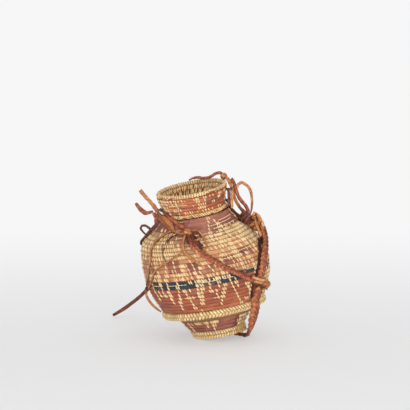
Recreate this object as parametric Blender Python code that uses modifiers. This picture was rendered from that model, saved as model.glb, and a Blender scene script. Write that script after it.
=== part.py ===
"""A coiled basket with a flared collar, a thick belly ring, a hollow foot and a leather sling.

The basket leans to its left: the left edge of the foot's lowest coil stands on the floor, and the
sling's strap lies under the right half of the foot. All sizes are in metres.
"""
import math

import bmesh
import bpy
from mathutils import Matrix, Vector

# Driving sizes of the basket
BASKET_HEIGHT = 0.1812
BELLY_RADIUS = 0.0756
COIL_THICKNESS = 0.0048
ROW_RIDGE = 0.0009
JOINT_GAP = 0.0003
LEAN_DEGREES = 10.0
FLOOR_FLAT_DEPTH = 0.0005
ROUND_STEPS = 40
MERGE_DISTANCE = 0.00001

# The round coils: rim, neck seam, belly ring and the two coils of the foot's base
RIM_COIL_THICKNESS = 0.0048
SEAM_COIL_THICKNESS = 0.0046
BELLY_RING_THICKNESS = 0.0084
BASE_COIL_THICKNESS = 0.0047
COIL_SIDES = 8

# The leather
STRAP_THICKNESS = 0.0036
FLAT_THONG_THICKNESS = 0.0019
STRAP_WIDTH = 0.0095
FRONT_BRAID_WIDTH = 0.0082
WIDE_STRAP_WIDTH = 0.0092
THONG_END_WIDTH = 0.0048
THICK_THONG = 0.0038
THONG = 0.0030
THIN_THONG = 0.0023
LONG_THONG = 0.0050
KNOT = 0.0130
WIDE_STRAP_END_SHARE = 0.72
BRAID_TAPER_SHARE = 0.28
SIDE_STRAP_WIDTH_SHARE = 0.74
LEATHER_LIFT = 0.0005
ROUTE_STEP = 0.0085

# Outside of the belly wall, collar and foot, as shares of the basket's height and belly radius
BELLY_PROFILE_SHARES = (
    (0.213, 0.821), (0.238, 0.849), (0.290, 0.908), (0.343, 0.952), (0.387, 0.981), (0.457, 1.0),
    (0.517, 0.997), (0.563, 0.971), (0.629, 0.925), (0.666, 0.886), (0.702, 0.817), (0.735, 0.730),
    (0.782, 0.622), (0.829, 0.532),
)
COLLAR_PROFILE_SHARES = ((0.861, 0.498), (0.900, 0.514), (0.937, 0.538), (0.974, 0.566))
FOOT_PROFILE_SHARES = ((0.0565, 0.448), (0.093, 0.512), (0.1305, 0.579))
BELLY_ROWS = 24
COLLAR_ROWS = 5
FOOT_ROWS = 3
BELLY_SMOOTH_ROWS = 2.5

# A row cut through, as (place across the row, how much of the groove's depth is left there)
ROW_SECTION_SHARES = ((0.22, 0.15), (0.78, 0.15), (1.0, 1.0))
# Rows as they were worked, against rows all alike: the belly's lower rows are a little narrower
EVEN_ROW_SHARES = ((0.0, 0.0), (1.0, 1.0))
BELLY_ROW_SHARES = ((0.0, 0.0), (0.292, 0.275), (0.375, 0.358), (1.0, 1.0))

# Round coils, as (height share, radius share), and the foot's base and the floor
RIM_SHARES = (0.9875, 0.537)
SEAM_SHARES = (0.845, 0.486)
BELLY_RING_SHARES = (0.1880, 0.780)
BASE_COIL_UPPER_RADIUS_SHARE = 0.414
BASE_COIL_LOWER_RADIUS_SHARE = 0.391
FLOOR_MIDDLE_RADIUS_SHARE = 0.60
FLOOR_MIDDLE_DROP_SHARE = 0.040

# The whole form has sagged to the left and its mouth nods forward: how far the middle of each
# height has moved, as a share of the belly radius, and how many degrees it nods
SAG_SHARES = (
    (-0.1, 0.0), (0.457, 0.0), (0.517, -0.013), (0.563, -0.035), (0.629, -0.063), (0.666, -0.083),
    (0.702, -0.095), (0.735, -0.075), (0.782, -0.037), (0.829, -0.026), (0.880, -0.038), (1.1, -0.006),
)
NOD_DEGREES = (
    (-0.1, 0.0), (0.0, 0.0), (0.132, -1.6), (0.185, -2.0), (0.430, -1.2), (0.728, 1.0), (0.848, 2.2),
    (1.1, 4.2),
)


def read_table(table, share):
    """Reads a value from a table of (share, value) pairs along a smooth line."""
    if share <= table[0][0]:
        return table[0][1]
    if share >= table[-1][0]:
        return table[-1][1]
    index = max(i for i in range(len(table) - 1) if table[i][0] <= share)
    x0, y0 = table[index]
    x1, y1 = table[index + 1]
    before = table[index - 1] if index > 0 else table[index]
    after = table[index + 2] if index + 2 < len(table) else table[index + 1]
    width = x1 - x0
    slope0 = (y1 - before[1]) / (x1 - before[0])
    slope1 = (after[1] - y0) / (after[0] - x0)
    t = (share - x0) / width
    return (
        y0 * (2 * t ** 3 - 3 * t ** 2 + 1) + slope0 * width * (t ** 3 - 2 * t ** 2 + t)
        + y1 * (3 * t ** 2 - 2 * t ** 3) + slope1 * width * (t ** 3 - t ** 2)
    )


# Everything the leather can lie on, read as one line from the foot to the rim
SKIN_PROFILE_SHARES = (
    BELLY_PROFILE_SHARES + ((0.845, 0.517), (0.861, 0.510)) + COLLAR_PROFILE_SHARES[1:]
    + ((1.0, 0.570),)
)


def settle(point):
    """Moves a point of the true turned form to where the sagged basket has it."""
    share = point.z / BASKET_HEIGHT
    sag = read_table(SAG_SHARES, share) * BELLY_RADIUS
    nod = math.tan(math.radians(read_table(NOD_DEGREES, share)))
    return Vector((point.x + sag, point.y, point.z + nod * point.y))


def ring_point(turn, height_share, radius_share):
    """A point by its turn from the front (degrees, to the right), height share and radius share."""
    angle = math.radians(turn)
    radius = radius_share * BELLY_RADIUS
    return settle(Vector((radius * math.sin(angle), -radius * math.cos(angle),
        height_share * BASKET_HEIGHT)))


def skin_point(turn, height_share, lift):
    """A point of the outside at a turn and height, lifted off along the skin's normal."""
    small_share = 0.004
    low = read_table(SKIN_PROFILE_SHARES, height_share - small_share) * BELLY_RADIUS
    high = read_table(SKIN_PROFILE_SHARES, height_share + small_share) * BELLY_RADIUS
    along = Vector((high - low, 2 * small_share * BASKET_HEIGHT)).normalized()
    radius = read_table(SKIN_PROFILE_SHARES, height_share) * BELLY_RADIUS + along.y * lift
    height = height_share * BASKET_HEIGHT - along.x * lift
    return ring_point(turn, height / BASKET_HEIGHT, radius / BELLY_RADIUS)


def skin_normal(turn, height_share):
    """The outward direction of the skin."""
    near = skin_point(turn, height_share, 0.0)
    far = skin_point(turn, height_share, COIL_THICKNESS)
    return (far - near).normalized()


def trace(route):
    """Adds stops between the stops of a route along a smooth line; every stop is a tuple."""
    stops = []
    for index in range(len(route) - 1):
        a = Vector(route[index])
        b = Vector(route[index + 1])
        before = Vector(route[index - 1]) if index > 0 else a - (b - a)
        after = Vector(route[index + 2]) if index + 2 < len(route) else b + (b - a)
        turned = math.radians(b[0] - a[0]) * BELLY_RADIUS
        raised = (b[1] - a[1]) * BASKET_HEIGHT
        count = max(1, round(math.hypot(turned, raised) / ROUTE_STEP))
        for step in range(count):
            t = step / count
            stops.append(tuple(
                0.5 * (2 * a + (b - before) * t + (2 * before - 5 * a + 4 * b - after) * t ** 2
                       + (3 * a - before - 3 * b + after) * t ** 3)
            ))
    stops.append(tuple(route[-1]))
    return stops


# Collections: the object, and the shapes that only cut
for old in list(bpy.data.objects):
    bpy.data.objects.remove(old, do_unlink=True)
basket_collection = bpy.data.collections.new("coiled_basket")
bpy.context.scene.collection.children.link(basket_collection)
cutter_collection = bpy.data.collections.new("cutters")
bpy.context.scene.collection.children.link(cutter_collection)

base_coil_radius = BASE_COIL_THICKNESS / 2
lean = math.radians(LEAN_DEGREES)
lower_coil_radius = BASE_COIL_LOWER_RADIUS_SHARE * BELLY_RADIUS
lift_of_base = (
    lower_coil_radius * math.sin(lean) + base_coil_radius - base_coil_radius * math.cos(lean)
    - FLOOR_FLAT_DEPTH
)
lean_frame = bpy.data.objects.new("lean_frame", None)
lean_frame.location = (0.0, 0.0, lift_of_base)
lean_frame.rotation_euler = (0.0, -lean, 0.0)
basket_collection.objects.link(lean_frame)
LEAN_MATRIX = Matrix.Translation((0.0, 0.0, lift_of_base)) @ Matrix.Rotation(-lean, 4, "Y")
FLOOR_MATRIX = LEAN_MATRIX.inverted()


def floor_point(x_share, y_share, height):
    """A point over the floor, given in the standing frame, in the basket's own leaning frame."""
    return FLOOR_MATRIX @ Vector((x_share * BELLY_RADIUS, y_share * BELLY_RADIUS, height))


# The pieces that carry the end of another piece: each also gets a hidden copy, one gap larger all
# round, which trims the ends that run into it
CARRIERS = (
    "front_knot", "crossing_knot", "back_knot", "shoulder_knot_dark", "shoulder_knot_tan", "rim_knot",
    "wide_strap", "left_side_thong", "girth_thong_left", "left_hanging_thong", "neck_tie",
    "collar_band", "front_braid", "front_small_loop", "lacing_knot", "front_hanging_thong",
)


def material(name, colour, roughness):
    made = bpy.data.materials.new(name)
    made.use_nodes = True
    shader = made.node_tree.nodes["Principled BSDF"]
    shader.inputs["Base Color"].default_value = (*colour, 1.0)
    shader.inputs["Roughness"].default_value = roughness
    made.diffuse_color = (*colour, 1.0)
    return made


def place(mesh, name, colour, origin=None, roughness=0.7):
    """Makes a named piece from a mesh in the leaning frame, with its origin at the given point."""
    origin = origin or Vector((0.0, 0.0, 0.0))
    mesh.transform(Matrix.Translation(-origin))
    cleaned = bmesh.new()
    cleaned.from_mesh(mesh)
    bmesh.ops.recalc_face_normals(cleaned, faces=cleaned.faces)
    if cleaned.calc_volume(signed=True) < 0:
        bmesh.ops.reverse_faces(cleaned, faces=cleaned.faces)
    cleaned.to_mesh(mesh)
    cleaned.free()
    mesh.name = name
    piece = bpy.data.objects.new(name, mesh)
    piece.parent = lean_frame
    piece.location = origin
    basket_collection.objects.link(piece)
    mesh.materials.append(material(name + "_finish", colour, roughness))
    return piece


def turned(outline, name, colour, closed=True):
    """Turns an outline of (radius, height) points round the basket's axis, then sags it."""
    mesh = bpy.data.meshes.new(name)
    points = [(radius, 0.0, height) for radius, height in outline]
    edges = [(i, i + 1) for i in range(len(points) - 1)]
    if closed:
        edges.append((len(points) - 1, 0))
    mesh.from_pydata(points, edges, [])
    holder = bpy.data.objects.new(name + "_outline", mesh)
    basket_collection.objects.link(holder)
    screw = holder.modifiers.new("turn", "SCREW")
    screw.axis = "Z"
    screw.angle = 2 * math.pi
    screw.steps = ROUND_STEPS
    screw.render_steps = ROUND_STEPS
    screw.use_merge_vertices = True
    screw.merge_threshold = MERGE_DISTANCE
    graph = bpy.context.evaluated_depsgraph_get()
    solid = bpy.data.meshes.new_from_object(holder.evaluated_get(graph))
    bpy.data.objects.remove(holder, do_unlink=True)
    for vertex in solid.vertices:
        vertex.co = settle(vertex.co)
    return place(solid, name, colour)


def row_outline(profile, rows, thickness, worked_rows=EVEN_ROW_SHARES, smooth_rows=1.0):
    """A coiled wall cut through: rounded rows outside, and one coil further in a smooth line with a
    stop every smooth_rows rows, or rounded rows again where that is None."""
    fine = 200
    start = profile[0][0]
    end = profile[-1][0]
    line = [
        Vector((read_table(profile, start + (end - start) * i / fine) * BELLY_RADIUS,
                (start + (end - start) * i / fine) * BASKET_HEIGHT))
        for i in range(fine + 1)
    ]
    walked = [0.0]
    for i in range(fine):
        walked.append(walked[-1] + (line[i + 1] - line[i]).length)

    def at(distance):
        index = min(max(sum(1 for value in walked if value <= distance) - 1, 0), fine - 1)
        part = (distance - walked[index]) / (walked[index + 1] - walked[index])
        point = line[index].lerp(line[index + 1], part)
        along = (line[index + 1] - line[index]).normalized()
        return point, Vector((along.y, -along.x))

    point, normal = at(0.0)
    outside = [point - Vector((ROW_RIDGE, 0.0))]
    for number in range(rows):
        for part, depth_share in ROW_SECTION_SHARES:
            share = read_table(worked_rows, (number + part) / rows)
            point, normal = at(walked[-1] * share)
            outside.append(point - normal * ROW_RIDGE * depth_share)
    point, normal = at(walked[-1])
    outside[-1] = point - Vector((ROW_RIDGE, 0.0))
    inner = []
    if smooth_rows is None:
        point, normal = at(0.0)
        inner.append(point - normal * (thickness - ROW_RIDGE))
        for number in range(rows):
            for part, depth_share in ROW_SECTION_SHARES:
                point, normal = at(walked[-1] * read_table(worked_rows, (number + part) / rows))
                inner.append(point - normal * (thickness - ROW_RIDGE * depth_share))
    else:
        for stop in range(math.ceil(rows / smooth_rows)):
            point, normal = at(walked[-1] * stop * smooth_rows / rows)
            inner.append(point - normal * thickness)
        point, normal = at(walked[-1])
        inner.append(point - normal * thickness)
    # The wall's two ends are cut level, so the round coils sit on them
    inner[0] = Vector((inner[0].x, outside[0].y))
    inner[-1] = Vector((inner[-1].x, outside[-1].y))
    return [tuple(p) for p in reversed(outside)] + [tuple(p) for p in inner]


def between(profile, low, high):
    """The same profile with its two ends moved to the given heights."""
    lowest = (low / BASKET_HEIGHT, profile[0][1])
    highest = (high / BASKET_HEIGHT, profile[-1][1])
    return (lowest,) + profile[1:-1] + (highest,)


def round_coil(radius, height, thickness, name, colour):
    """A round coil bent into a ring."""
    outline = []
    for side in range(COIL_SIDES):
        angle = -2 * math.pi * (side + 0.5) / COIL_SIDES
        outline.append((radius + math.cos(angle) * thickness / 2,
            height + math.sin(angle) * thickness / 2))
    return turned(outline, name, colour)


def tube_mesh(points, thickness, name, resolution, taper):
    """The closed skin of a round thong along points."""
    curve = bpy.data.curves.new(name, "CURVE")
    curve.dimensions = "3D"
    curve.bevel_depth = thickness / 2
    curve.bevel_resolution = resolution
    curve.use_fill_caps = True
    spline = curve.splines.new("POLY")
    spline.points.add(len(points) - 1)
    for index, point in enumerate(points):
        spline.points[index].co = (*point, 1.0)
        if taper:
            spline.points[index].radius = taper[0] + (taper[1] - taper[0]) * index / (len(points) - 1)
    holder = bpy.data.objects.new(name + "_line", curve)
    basket_collection.objects.link(holder)
    graph = bpy.context.evaluated_depsgraph_get()
    solid = bpy.data.meshes.new_from_object(holder.evaluated_get(graph))
    bpy.data.objects.remove(holder, do_unlink=True)
    cleaned = bmesh.new()
    cleaned.from_mesh(solid)
    bmesh.ops.remove_doubles(cleaned, verts=cleaned.verts, dist=MERGE_DISTANCE)
    bmesh.ops.recalc_face_normals(cleaned, faces=cleaned.faces)
    cleaned.to_mesh(solid)
    cleaned.free()
    return solid


def longer(points, extra):
    """The same line with both ends drawn out."""
    first = points[0] + (points[0] - points[1]).normalized() * extra
    last = points[-1] + (points[-1] - points[-2]).normalized() * extra
    return [first] + list(points[1:-1]) + [last]


def tube(points, thickness, name, colour, origin=None, resolution=1, taper=None):
    """A round thong along points, closed at both ends."""
    if name in CARRIERS:
        hide(tube_mesh(longer(points, JOINT_GAP), thickness + 2 * JOINT_GAP, name, resolution, taper),
            name)
    return place(tube_mesh(points, thickness, name, resolution, taper), name, colour, origin)


def skin_tube(route, thickness, name, colour, lifts=1.0):
    """A round thong that lies on the basket; the route holds (turn, height share) stops."""
    lift = thickness / 2 + lifts * LEATHER_LIFT
    points = [skin_point(turn, share, lift) for turn, share in trace(route)]
    return tube(points, thickness, name, colour, points[0].copy())


def free_tube(route, thickness, name, colour, taper=None, origin=None):
    """A round thong that stands free; the route holds (turn, height share, radius share) stops."""
    points = [ring_point(*stop) for stop in trace(route)]
    return tube(points, thickness, name, colour, origin or points[0].copy(), 1, taper)


def strap_mesh(points, normals, widths, thickness, name, domed):
    """The closed skin of a strap along points."""
    solid = bmesh.new()
    rings = []
    for index, point in enumerate(points):
        ahead = points[min(index + 1, len(points) - 1)]
        behind = points[max(index - 1, 0)]
        along = (ahead - behind).normalized()
        normal = (normals[index] - along * normals[index].dot(along)).normalized()
        across = along.cross(normal)
        half = widths[index] / 2
        section = [(-half, 0.0), (half, 0.0), (half, thickness), (-half, thickness)]
        if domed:
            section = [
                (-half, 0.0), (half, 0.0), (half, thickness * 0.55), (half * 0.5, thickness),
                (-half * 0.5, thickness), (-half, thickness * 0.55),
            ]
        rings.append([solid.verts.new(point + across * x + normal * y) for x, y in section])
    for first, second in zip(rings, rings[1:]):
        for index in range(len(first)):
            following = (index + 1) % len(first)
            solid.faces.new((first[index], first[following], second[following], second[index]))
    solid.faces.new(list(reversed(rings[0])))
    solid.faces.new(rings[-1])
    bmesh.ops.recalc_face_normals(solid, faces=solid.faces)
    mesh = bpy.data.meshes.new(name)
    solid.to_mesh(mesh)
    solid.free()
    return mesh


def strap(points, normals, widths, thickness, name, colour, origin=None, domed=True):
    """A strap of leather: its inner face follows the points, its outer face lies over them."""
    if name in CARRIERS:
        lowered = [point - normal.normalized() * JOINT_GAP for point, normal in zip(points, normals)]
        wider = [width + 2 * JOINT_GAP for width in widths]
        hide(strap_mesh(longer(lowered, JOINT_GAP), normals, wider, thickness + 2 * JOINT_GAP, name,
            domed), name)
    return place(strap_mesh(points, normals, widths, thickness, name, domed), name, colour,
        origin or points[0].copy())


def lump(turn, height_share, lift_share, size_shares, roll, name, colour, centre=None):
    """A knot: a rounded lump, its lift and size in shares of one knot, rolled about the outward line."""
    centre = centre or skin_point(turn, height_share, lift_share * KNOT)
    normal = skin_normal(turn, height_share)
    side = Vector((0.0, 0.0, 1.0)).cross(normal).normalized()
    up = normal.cross(side)
    spin = Matrix.Rotation(math.radians(roll), 3, normal)
    frame = Matrix((spin @ side, spin @ up, normal)).transposed().to_4x4()
    for extra in ((0.0, 2 * JOINT_GAP) if name in CARRIERS else (0.0,)):
        ball = bmesh.new()
        bmesh.ops.create_icosphere(ball, subdivisions=2, radius=0.5)
        mesh = bpy.data.meshes.new(name)
        ball.to_mesh(mesh)
        ball.free()
        size = [value * KNOT + extra for value in size_shares]
        mesh.transform(Matrix.Translation(centre) @ frame @ Matrix.Diagonal((*size, 1.0)))
        if extra:
            hide(mesh, name)
        else:
            knot = place(mesh, name, colour, centre)
    return knot


def hide(mesh, name):
    """Keeps a mesh in the leaning frame as a hidden shape that only cuts."""
    cutter = bpy.data.objects.new(name + "_clearance", mesh)
    cutter.parent = lean_frame
    cutter.hide_render = True
    cutter.display_type = "WIRE"
    cutter_collection.objects.link(cutter)


def trim(name, *carriers):
    """Cuts a piece back to one gap from each piece that carries it."""
    for carrier in carriers:
        cut = bpy.data.objects[name].modifiers.new("clear_of_" + carrier, "BOOLEAN")
        cut.operation = "DIFFERENCE"
        cut.solver = "EXACT"
        cut.object = bpy.data.objects[carrier + "_clearance"]


STRAW_COLOUR = (0.72, 0.52, 0.28)
STRAW_PALE_COLOUR = (0.78, 0.66, 0.45)
WOVEN_COLOUR = (0.55, 0.27, 0.17)
WOVEN_ORANGE_COLOUR = (0.60, 0.24, 0.12)
WOVEN_MAUVE_COLOUR = (0.33, 0.17, 0.15)
LEATHER_TAN_COLOUR = (0.50, 0.24, 0.10)
LEATHER_RED_COLOUR = (0.40, 0.13, 0.07)
LEATHER_DARK_COLOUR = (0.17, 0.06, 0.035)

# The basket itself, from the mouth down
rim_height = RIM_SHARES[0] * BASKET_HEIGHT
seam_height = SEAM_SHARES[0] * BASKET_HEIGHT
ring_height = BELLY_RING_SHARES[0] * BASKET_HEIGHT
ring_radius = BELLY_RING_SHARES[1] * BELLY_RADIUS
floor_top = ring_height + COIL_THICKNESS / 2
floor_drop = FLOOR_MIDDLE_DROP_SHARE * BASKET_HEIGHT
upper_height = base_coil_radius + BASE_COIL_THICKNESS + JOINT_GAP
collar_line = between(
    COLLAR_PROFILE_SHARES, seam_height + SEAM_COIL_THICKNESS / 2 + JOINT_GAP,
    rim_height - RIM_COIL_THICKNESS / 2 - JOINT_GAP,
)
belly_line = between(
    BELLY_PROFILE_SHARES, ring_height + BELLY_RING_THICKNESS / 2 + JOINT_GAP,
    seam_height - SEAM_COIL_THICKNESS / 2 - JOINT_GAP,
)
foot_line = between(
    FOOT_PROFILE_SHARES, upper_height + base_coil_radius + JOINT_GAP,
    floor_top - COIL_THICKNESS - floor_drop - JOINT_GAP,
)
round_coil(RIM_SHARES[1] * BELLY_RADIUS, rim_height, RIM_COIL_THICKNESS, "rim_coil", STRAW_PALE_COLOUR)
turned(row_outline(collar_line, COLLAR_ROWS, COIL_THICKNESS, smooth_rows=None), "collar_wall",
    WOVEN_ORANGE_COLOUR)
round_coil(SEAM_SHARES[1] * BELLY_RADIUS, seam_height, SEAM_COIL_THICKNESS, "neck_seam_coil",
    STRAW_COLOUR)
turned(
    row_outline(belly_line, BELLY_ROWS, COIL_THICKNESS, BELLY_ROW_SHARES, BELLY_SMOOTH_ROWS),
    "belly_wall", WOVEN_COLOUR,
)
round_coil(ring_radius, ring_height, BELLY_RING_THICKNESS, "belly_ring", STRAW_COLOUR)

# The basket's floor: a shallow coiled dish inside the belly ring
floor_edge = ring_radius - BELLY_RING_THICKNESS / 2 - JOINT_GAP
floor_middle = FLOOR_MIDDLE_RADIUS_SHARE * BELLY_RADIUS
turned(
    [
        (0.0, floor_top - floor_drop), (floor_middle, floor_top - floor_drop), (floor_edge, floor_top),
        (floor_edge, floor_top - COIL_THICKNESS), (floor_middle, floor_top - COIL_THICKNESS - floor_drop),
        (0.0, floor_top - COIL_THICKNESS - floor_drop),
    ],
    "belly_floor", WOVEN_COLOUR, False,
)

# The hollow foot under it and the two straw coils that it stands on
turned(row_outline(foot_line, FOOT_ROWS, COIL_THICKNESS), "foot_wall", WOVEN_MAUVE_COLOUR)
round_coil(
    BASE_COIL_UPPER_RADIUS_SHARE * BELLY_RADIUS, upper_height, BASE_COIL_THICKNESS, "base_coil_upper",
    STRAW_COLOUR,
)
lower_coil = round_coil(lower_coil_radius, base_coil_radius, BASE_COIL_THICKNESS, "base_coil_lower",
    STRAW_COLOUR)

# The lowest coil is worn flat where it stands on the floor
wear_box = bpy.data.meshes.new("floor_cutter")
box = bmesh.new()
bmesh.ops.create_cube(box, size=2 * BASKET_HEIGHT)
box.to_mesh(wear_box)
box.free()
floor_cutter = bpy.data.objects.new("floor_cutter", wear_box)
floor_cutter.location = (0.0, 0.0, -BASKET_HEIGHT)
floor_cutter.hide_render = True
floor_cutter.display_type = "WIRE"
cutter_collection.objects.link(floor_cutter)
worn = lower_coil.modifiers.new("worn_flat", "BOOLEAN")
worn.operation = "DIFFERENCE"
worn.solver = "EXACT"
worn.object = floor_cutter

# Left shoulder: the wide strap, its free upper end and the thongs that come round the neck
free_strap_stops = trace(((-66, 0.893, 0.612), (-61, 0.862, 0.602), (-54, 0.828, 0.580)))
wide_points = [ring_point(*stop) for stop in free_strap_stops]
wide_normals = [skin_normal(stop[0], stop[1]) for stop in free_strap_stops]
for turn, share in trace(((-45, 0.800), (-36, 0.785), (-25, 0.770), (-15, 0.761))):
    wide_points.append(skin_point(turn, share, LEATHER_LIFT))
    wide_normals.append(skin_normal(turn, share))
wide_widths = [
    WIDE_STRAP_WIDTH * (WIDE_STRAP_END_SHARE + (1.0 - WIDE_STRAP_END_SHARE)
                        * math.sin(math.pi * min(1.0, 1.3 * i / (len(wide_points) - 1))))
    for i in range(len(wide_points))
]
strap(wide_points, wide_normals, wide_widths, FLAT_THONG_THICKNESS, "wide_strap", LEATHER_TAN_COLOUR,
    None, False)

FACING_SIDE = Vector((0.0, -1.0, 0.0))
end_points = [
    ring_point(*stop) for stop in (
        (-66.4, 0.897, 0.6135), (-68.5, 0.911, 0.627), (-74, 0.955, 0.677), (-78, 1.003, 0.754),
        (-79, 1.052, 0.827),
    )
]
strap(
    end_points, [FACING_SIDE] * 5,
    [THONG_END_WIDTH * 0.4, THONG_END_WIDTH, THONG_END_WIDTH, THONG_END_WIDTH, THONG_END_WIDTH * 0.8],
    FLAT_THONG_THICKNESS, "upper_thong_end", LEATHER_TAN_COLOUR, None, False,
)
curl_points = [
    ring_point(*stop) for stop in (
        (-83, 0.892, 0.655), (-86, 0.886, 0.734), (-88, 0.895, 0.796), (-90, 0.928, 0.861),
        (-90, 0.961, 0.902),
    )
]
strap(
    curl_points, [FACING_SIDE] * 5,
    [THONG, THONG_END_WIDTH * 0.8, THONG_END_WIDTH, THONG_END_WIDTH, THONG_END_WIDTH * 0.8],
    FLAT_THONG_THICKNESS, "curled_thong_end", LEATHER_RED_COLOUR, None, False,
)
free_tube(((-81.2, 0.883, 0.6455), (-79, 0.849, 0.636), (-78, 0.822, 0.655), (-75, 0.811, 0.664)),
    THONG, "curled_thong_root", LEATHER_RED_COLOUR)
free_tube(
    ((-65, 0.837, 0.625), (-67.5, 0.832, 0.631), (-74, 0.808, 0.660), (-84, 0.769, 0.728),
     (-90, 0.728, 0.796), (-96, 0.692, 0.878), (-99, 0.677, 0.902)),
    THONG, "left_side_thong", LEATHER_DARK_COLOUR,
)
free_tube(
    ((-84, 0.771, 0.735), (-82.5, 0.792, 0.772), (-83, 0.816, 0.825), (-83, 0.824, 0.883),
     (-83, 0.807, 0.915), (-84, 0.780, 0.879), (-86, 0.756, 0.832), (-88, 0.740, 0.793)),
    THIN_THONG, "left_small_loop", LEATHER_RED_COLOUR,
)
skin_tube(((-63, 0.895), (-49, 0.868), (-35, 0.836), (-22, 0.800), (-13, 0.777)), THICK_THONG,
    "left_neck_thong", LEATHER_RED_COLOUR, 2.0)
free_tube(
    ((-66.5, 0.8965, 0.550), (-95, 0.885, 0.531), (-125, 0.880, 0.528), (-160, 0.876, 0.528),
     (-195, 0.876, 0.528), (-230, 0.874, 0.528), (-258, 0.866, 0.536), (-274, 0.854, 0.553),
     (-284, 0.834, 0.580), (-287, 0.808, 0.625), (-287, 0.785, 0.690), (-285.5, 0.762, 0.755),
     (-285, 0.745, 0.800)),
    THONG, "neck_tie", LEATHER_DARK_COLOUR,
)

# Front: the knot on the shoulder and what leaves it
lump(-10.5, 0.757, 0.385, (0.938, 1.000, 0.692), 25, "front_knot", LEATHER_TAN_COLOUR)
skin_tube(
    ((-16.5, 0.743), (-22, 0.738), (-32, 0.741), (-46, 0.734), (-54, 0.712), (-54, 0.670),
     (-55, 0.615), (-57, 0.558), (-61, 0.510), (-68, 0.468), (-75, 0.432), (-79, 0.404)),
    THIN_THONG, "left_hanging_thong", LEATHER_RED_COLOUR, 2.0,
)
skin_tube(((-11.5, 0.752), (-12.5, 0.730), (-12.5, 0.712), (-12.5, 0.689), (-13, 0.649), (-10, 0.613),
    (-6, 0.578), (-2, 0.539)), THONG, "front_hanging_thong", LEATHER_TAN_COLOUR)
skin_tube(
    ((-13.5, 0.648), (-24, 0.614), (-33, 0.588), (-42, 0.560), (-51, 0.522), (-57, 0.482),
     (-63, 0.444), (-70, 0.412), (-76, 0.396)),
    THIN_THONG, "left_lacing", LEATHER_TAN_COLOUR,
)
lump(-77, 0.394, 0.215, (0.477, 0.477, 0.369), 0, "lacing_knot", LEATHER_DARK_COLOUR)
free_tube(
    ((-79, 0.392, 1.012), (-84, 0.380, 1.018), (-88, 0.366, 1.022), (-89, 0.341, 1.036),
     (-90, 0.307, 1.020), (-88, 0.271, 0.972), (-87, 0.240, 0.915), (-85.5, 0.212, 0.848)),
    THIN_THONG, "lacing_tail", LEATHER_TAN_COLOUR, (1.0, 0.6),
)
skin_tube(((-6, 0.766), (-2, 0.764), (4, 0.753), (10, 0.717), (10.5, 0.682), (7.5, 0.655),
    (3.5, 0.636)), THIN_THONG, "front_small_loop", LEATHER_RED_COLOUR, 3.4)
skin_tube(((-2, 0.711), (3.5, 0.717), (9.5, 0.717)), THIN_THONG, "front_cross_thong",
    LEATHER_RED_COLOUR, 3.4)
braid_route = trace(
    ((-6, 0.735), (-3, 0.700), (-1.5, 0.660), (2, 0.622), (6.5, 0.584), (12, 0.541), (18, 0.494),
     (26, 0.448), (36, 0.397), (45, 0.360), (52, 0.332))
)
braid_points = [skin_point(turn, share, 2.4 * LEATHER_LIFT) for turn, share in braid_route]
braid_normals = [skin_normal(turn, share) for turn, share in braid_route]
braid_widths = [FRONT_BRAID_WIDTH * (1.0 - BRAID_TAPER_SHARE * i / (len(braid_points) - 1))
    for i in range(len(braid_points))]
strap(braid_points, braid_normals, braid_widths, STRAP_THICKNESS, "front_braid", LEATHER_RED_COLOUR)

# Right side: the shoulder knot, the strap down to the crossing knot, and on under the foot
lump(75, 0.716, 0.600, (0.923, 1.385, 1.046), 0, "shoulder_knot_dark", LEATHER_DARK_COLOUR)
lump(81, 0.668, 0.769, (1.000, 1.538, 1.354), 0, "shoulder_knot_tan", LEATHER_TAN_COLOUR)
side_stops = trace(((79, 0.694, 1.055), (78, 0.664, 1.098), (77, 0.640, 1.110), (75, 0.600, 1.112),
    (73, 0.560, 1.100), (69, 0.520, 1.052)))
side_points = [ring_point(*stop) for stop in side_stops]
side_normals = [skin_normal(stop[0], 0.52) for stop in side_stops]
for turn, share in trace(((66, 0.474), (63.5, 0.427), (60, 0.385), (58.5, 0.330))):
    side_points.append(skin_point(turn, share, LEATHER_LIFT))
    side_normals.append(skin_normal(turn, share))
side_widths = [STRAP_WIDTH * SIDE_STRAP_WIDTH_SHARE] * len(side_points)
strap(side_points, side_normals, side_widths, STRAP_THICKNESS, "side_strap_upper", LEATHER_RED_COLOUR)
lump(58, 0.320, 0.446, (1.846, 0.969, 0.862), -10, "crossing_knot", LEATHER_TAN_COLOUR)

UNDER_START_SHARES = ((58.5, 0.298), (58, 0.265), (57.5, 0.246), (56, 0.226))
under_points = [skin_point(turn, share, LEATHER_LIFT) for turn, share in UNDER_START_SHARES]
under_normals = [skin_normal(turn, share) for turn, share in UNDER_START_SHARES]
ring_outside = (ring_radius + BELLY_RING_THICKNESS / 2 + LEATHER_LIFT) / BELLY_RADIUS
for stop in (
    (54.5, BELLY_RING_SHARES[0] + 0.012, ring_outside), (54, BELLY_RING_SHARES[0] - 0.012, ring_outside),
    (54, 0.140, 0.800), (57, 0.095, 0.705), (63, 0.045, 0.610),
):
    under_points.append(ring_point(*stop))
    under_normals.append((under_points[-1] - ring_point(0, 0.16, 0.0)).normalized())
DOWN_SIDE = (FLOOR_MATRIX.to_3x3() @ Vector((0.0, 0.0, -1.0))).normalized()
AWAY_SIDE = (FLOOR_MATRIX.to_3x3() @ Vector((1.0, 0.0, 0.0))).normalized()
BACK_SIDE = Vector((0.0, 1.0, 0.0))
under_points.append(floor_point(0.487, -0.130, 2.7 * STRAP_THICKNESS))
under_normals.append((AWAY_SIDE + DOWN_SIDE * 0.8).normalized())
under_points.append(floor_point(0.468, -0.050, 1.45 * STRAP_THICKNESS))
under_normals.append((AWAY_SIDE * 0.5 + DOWN_SIDE).normalized())
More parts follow.
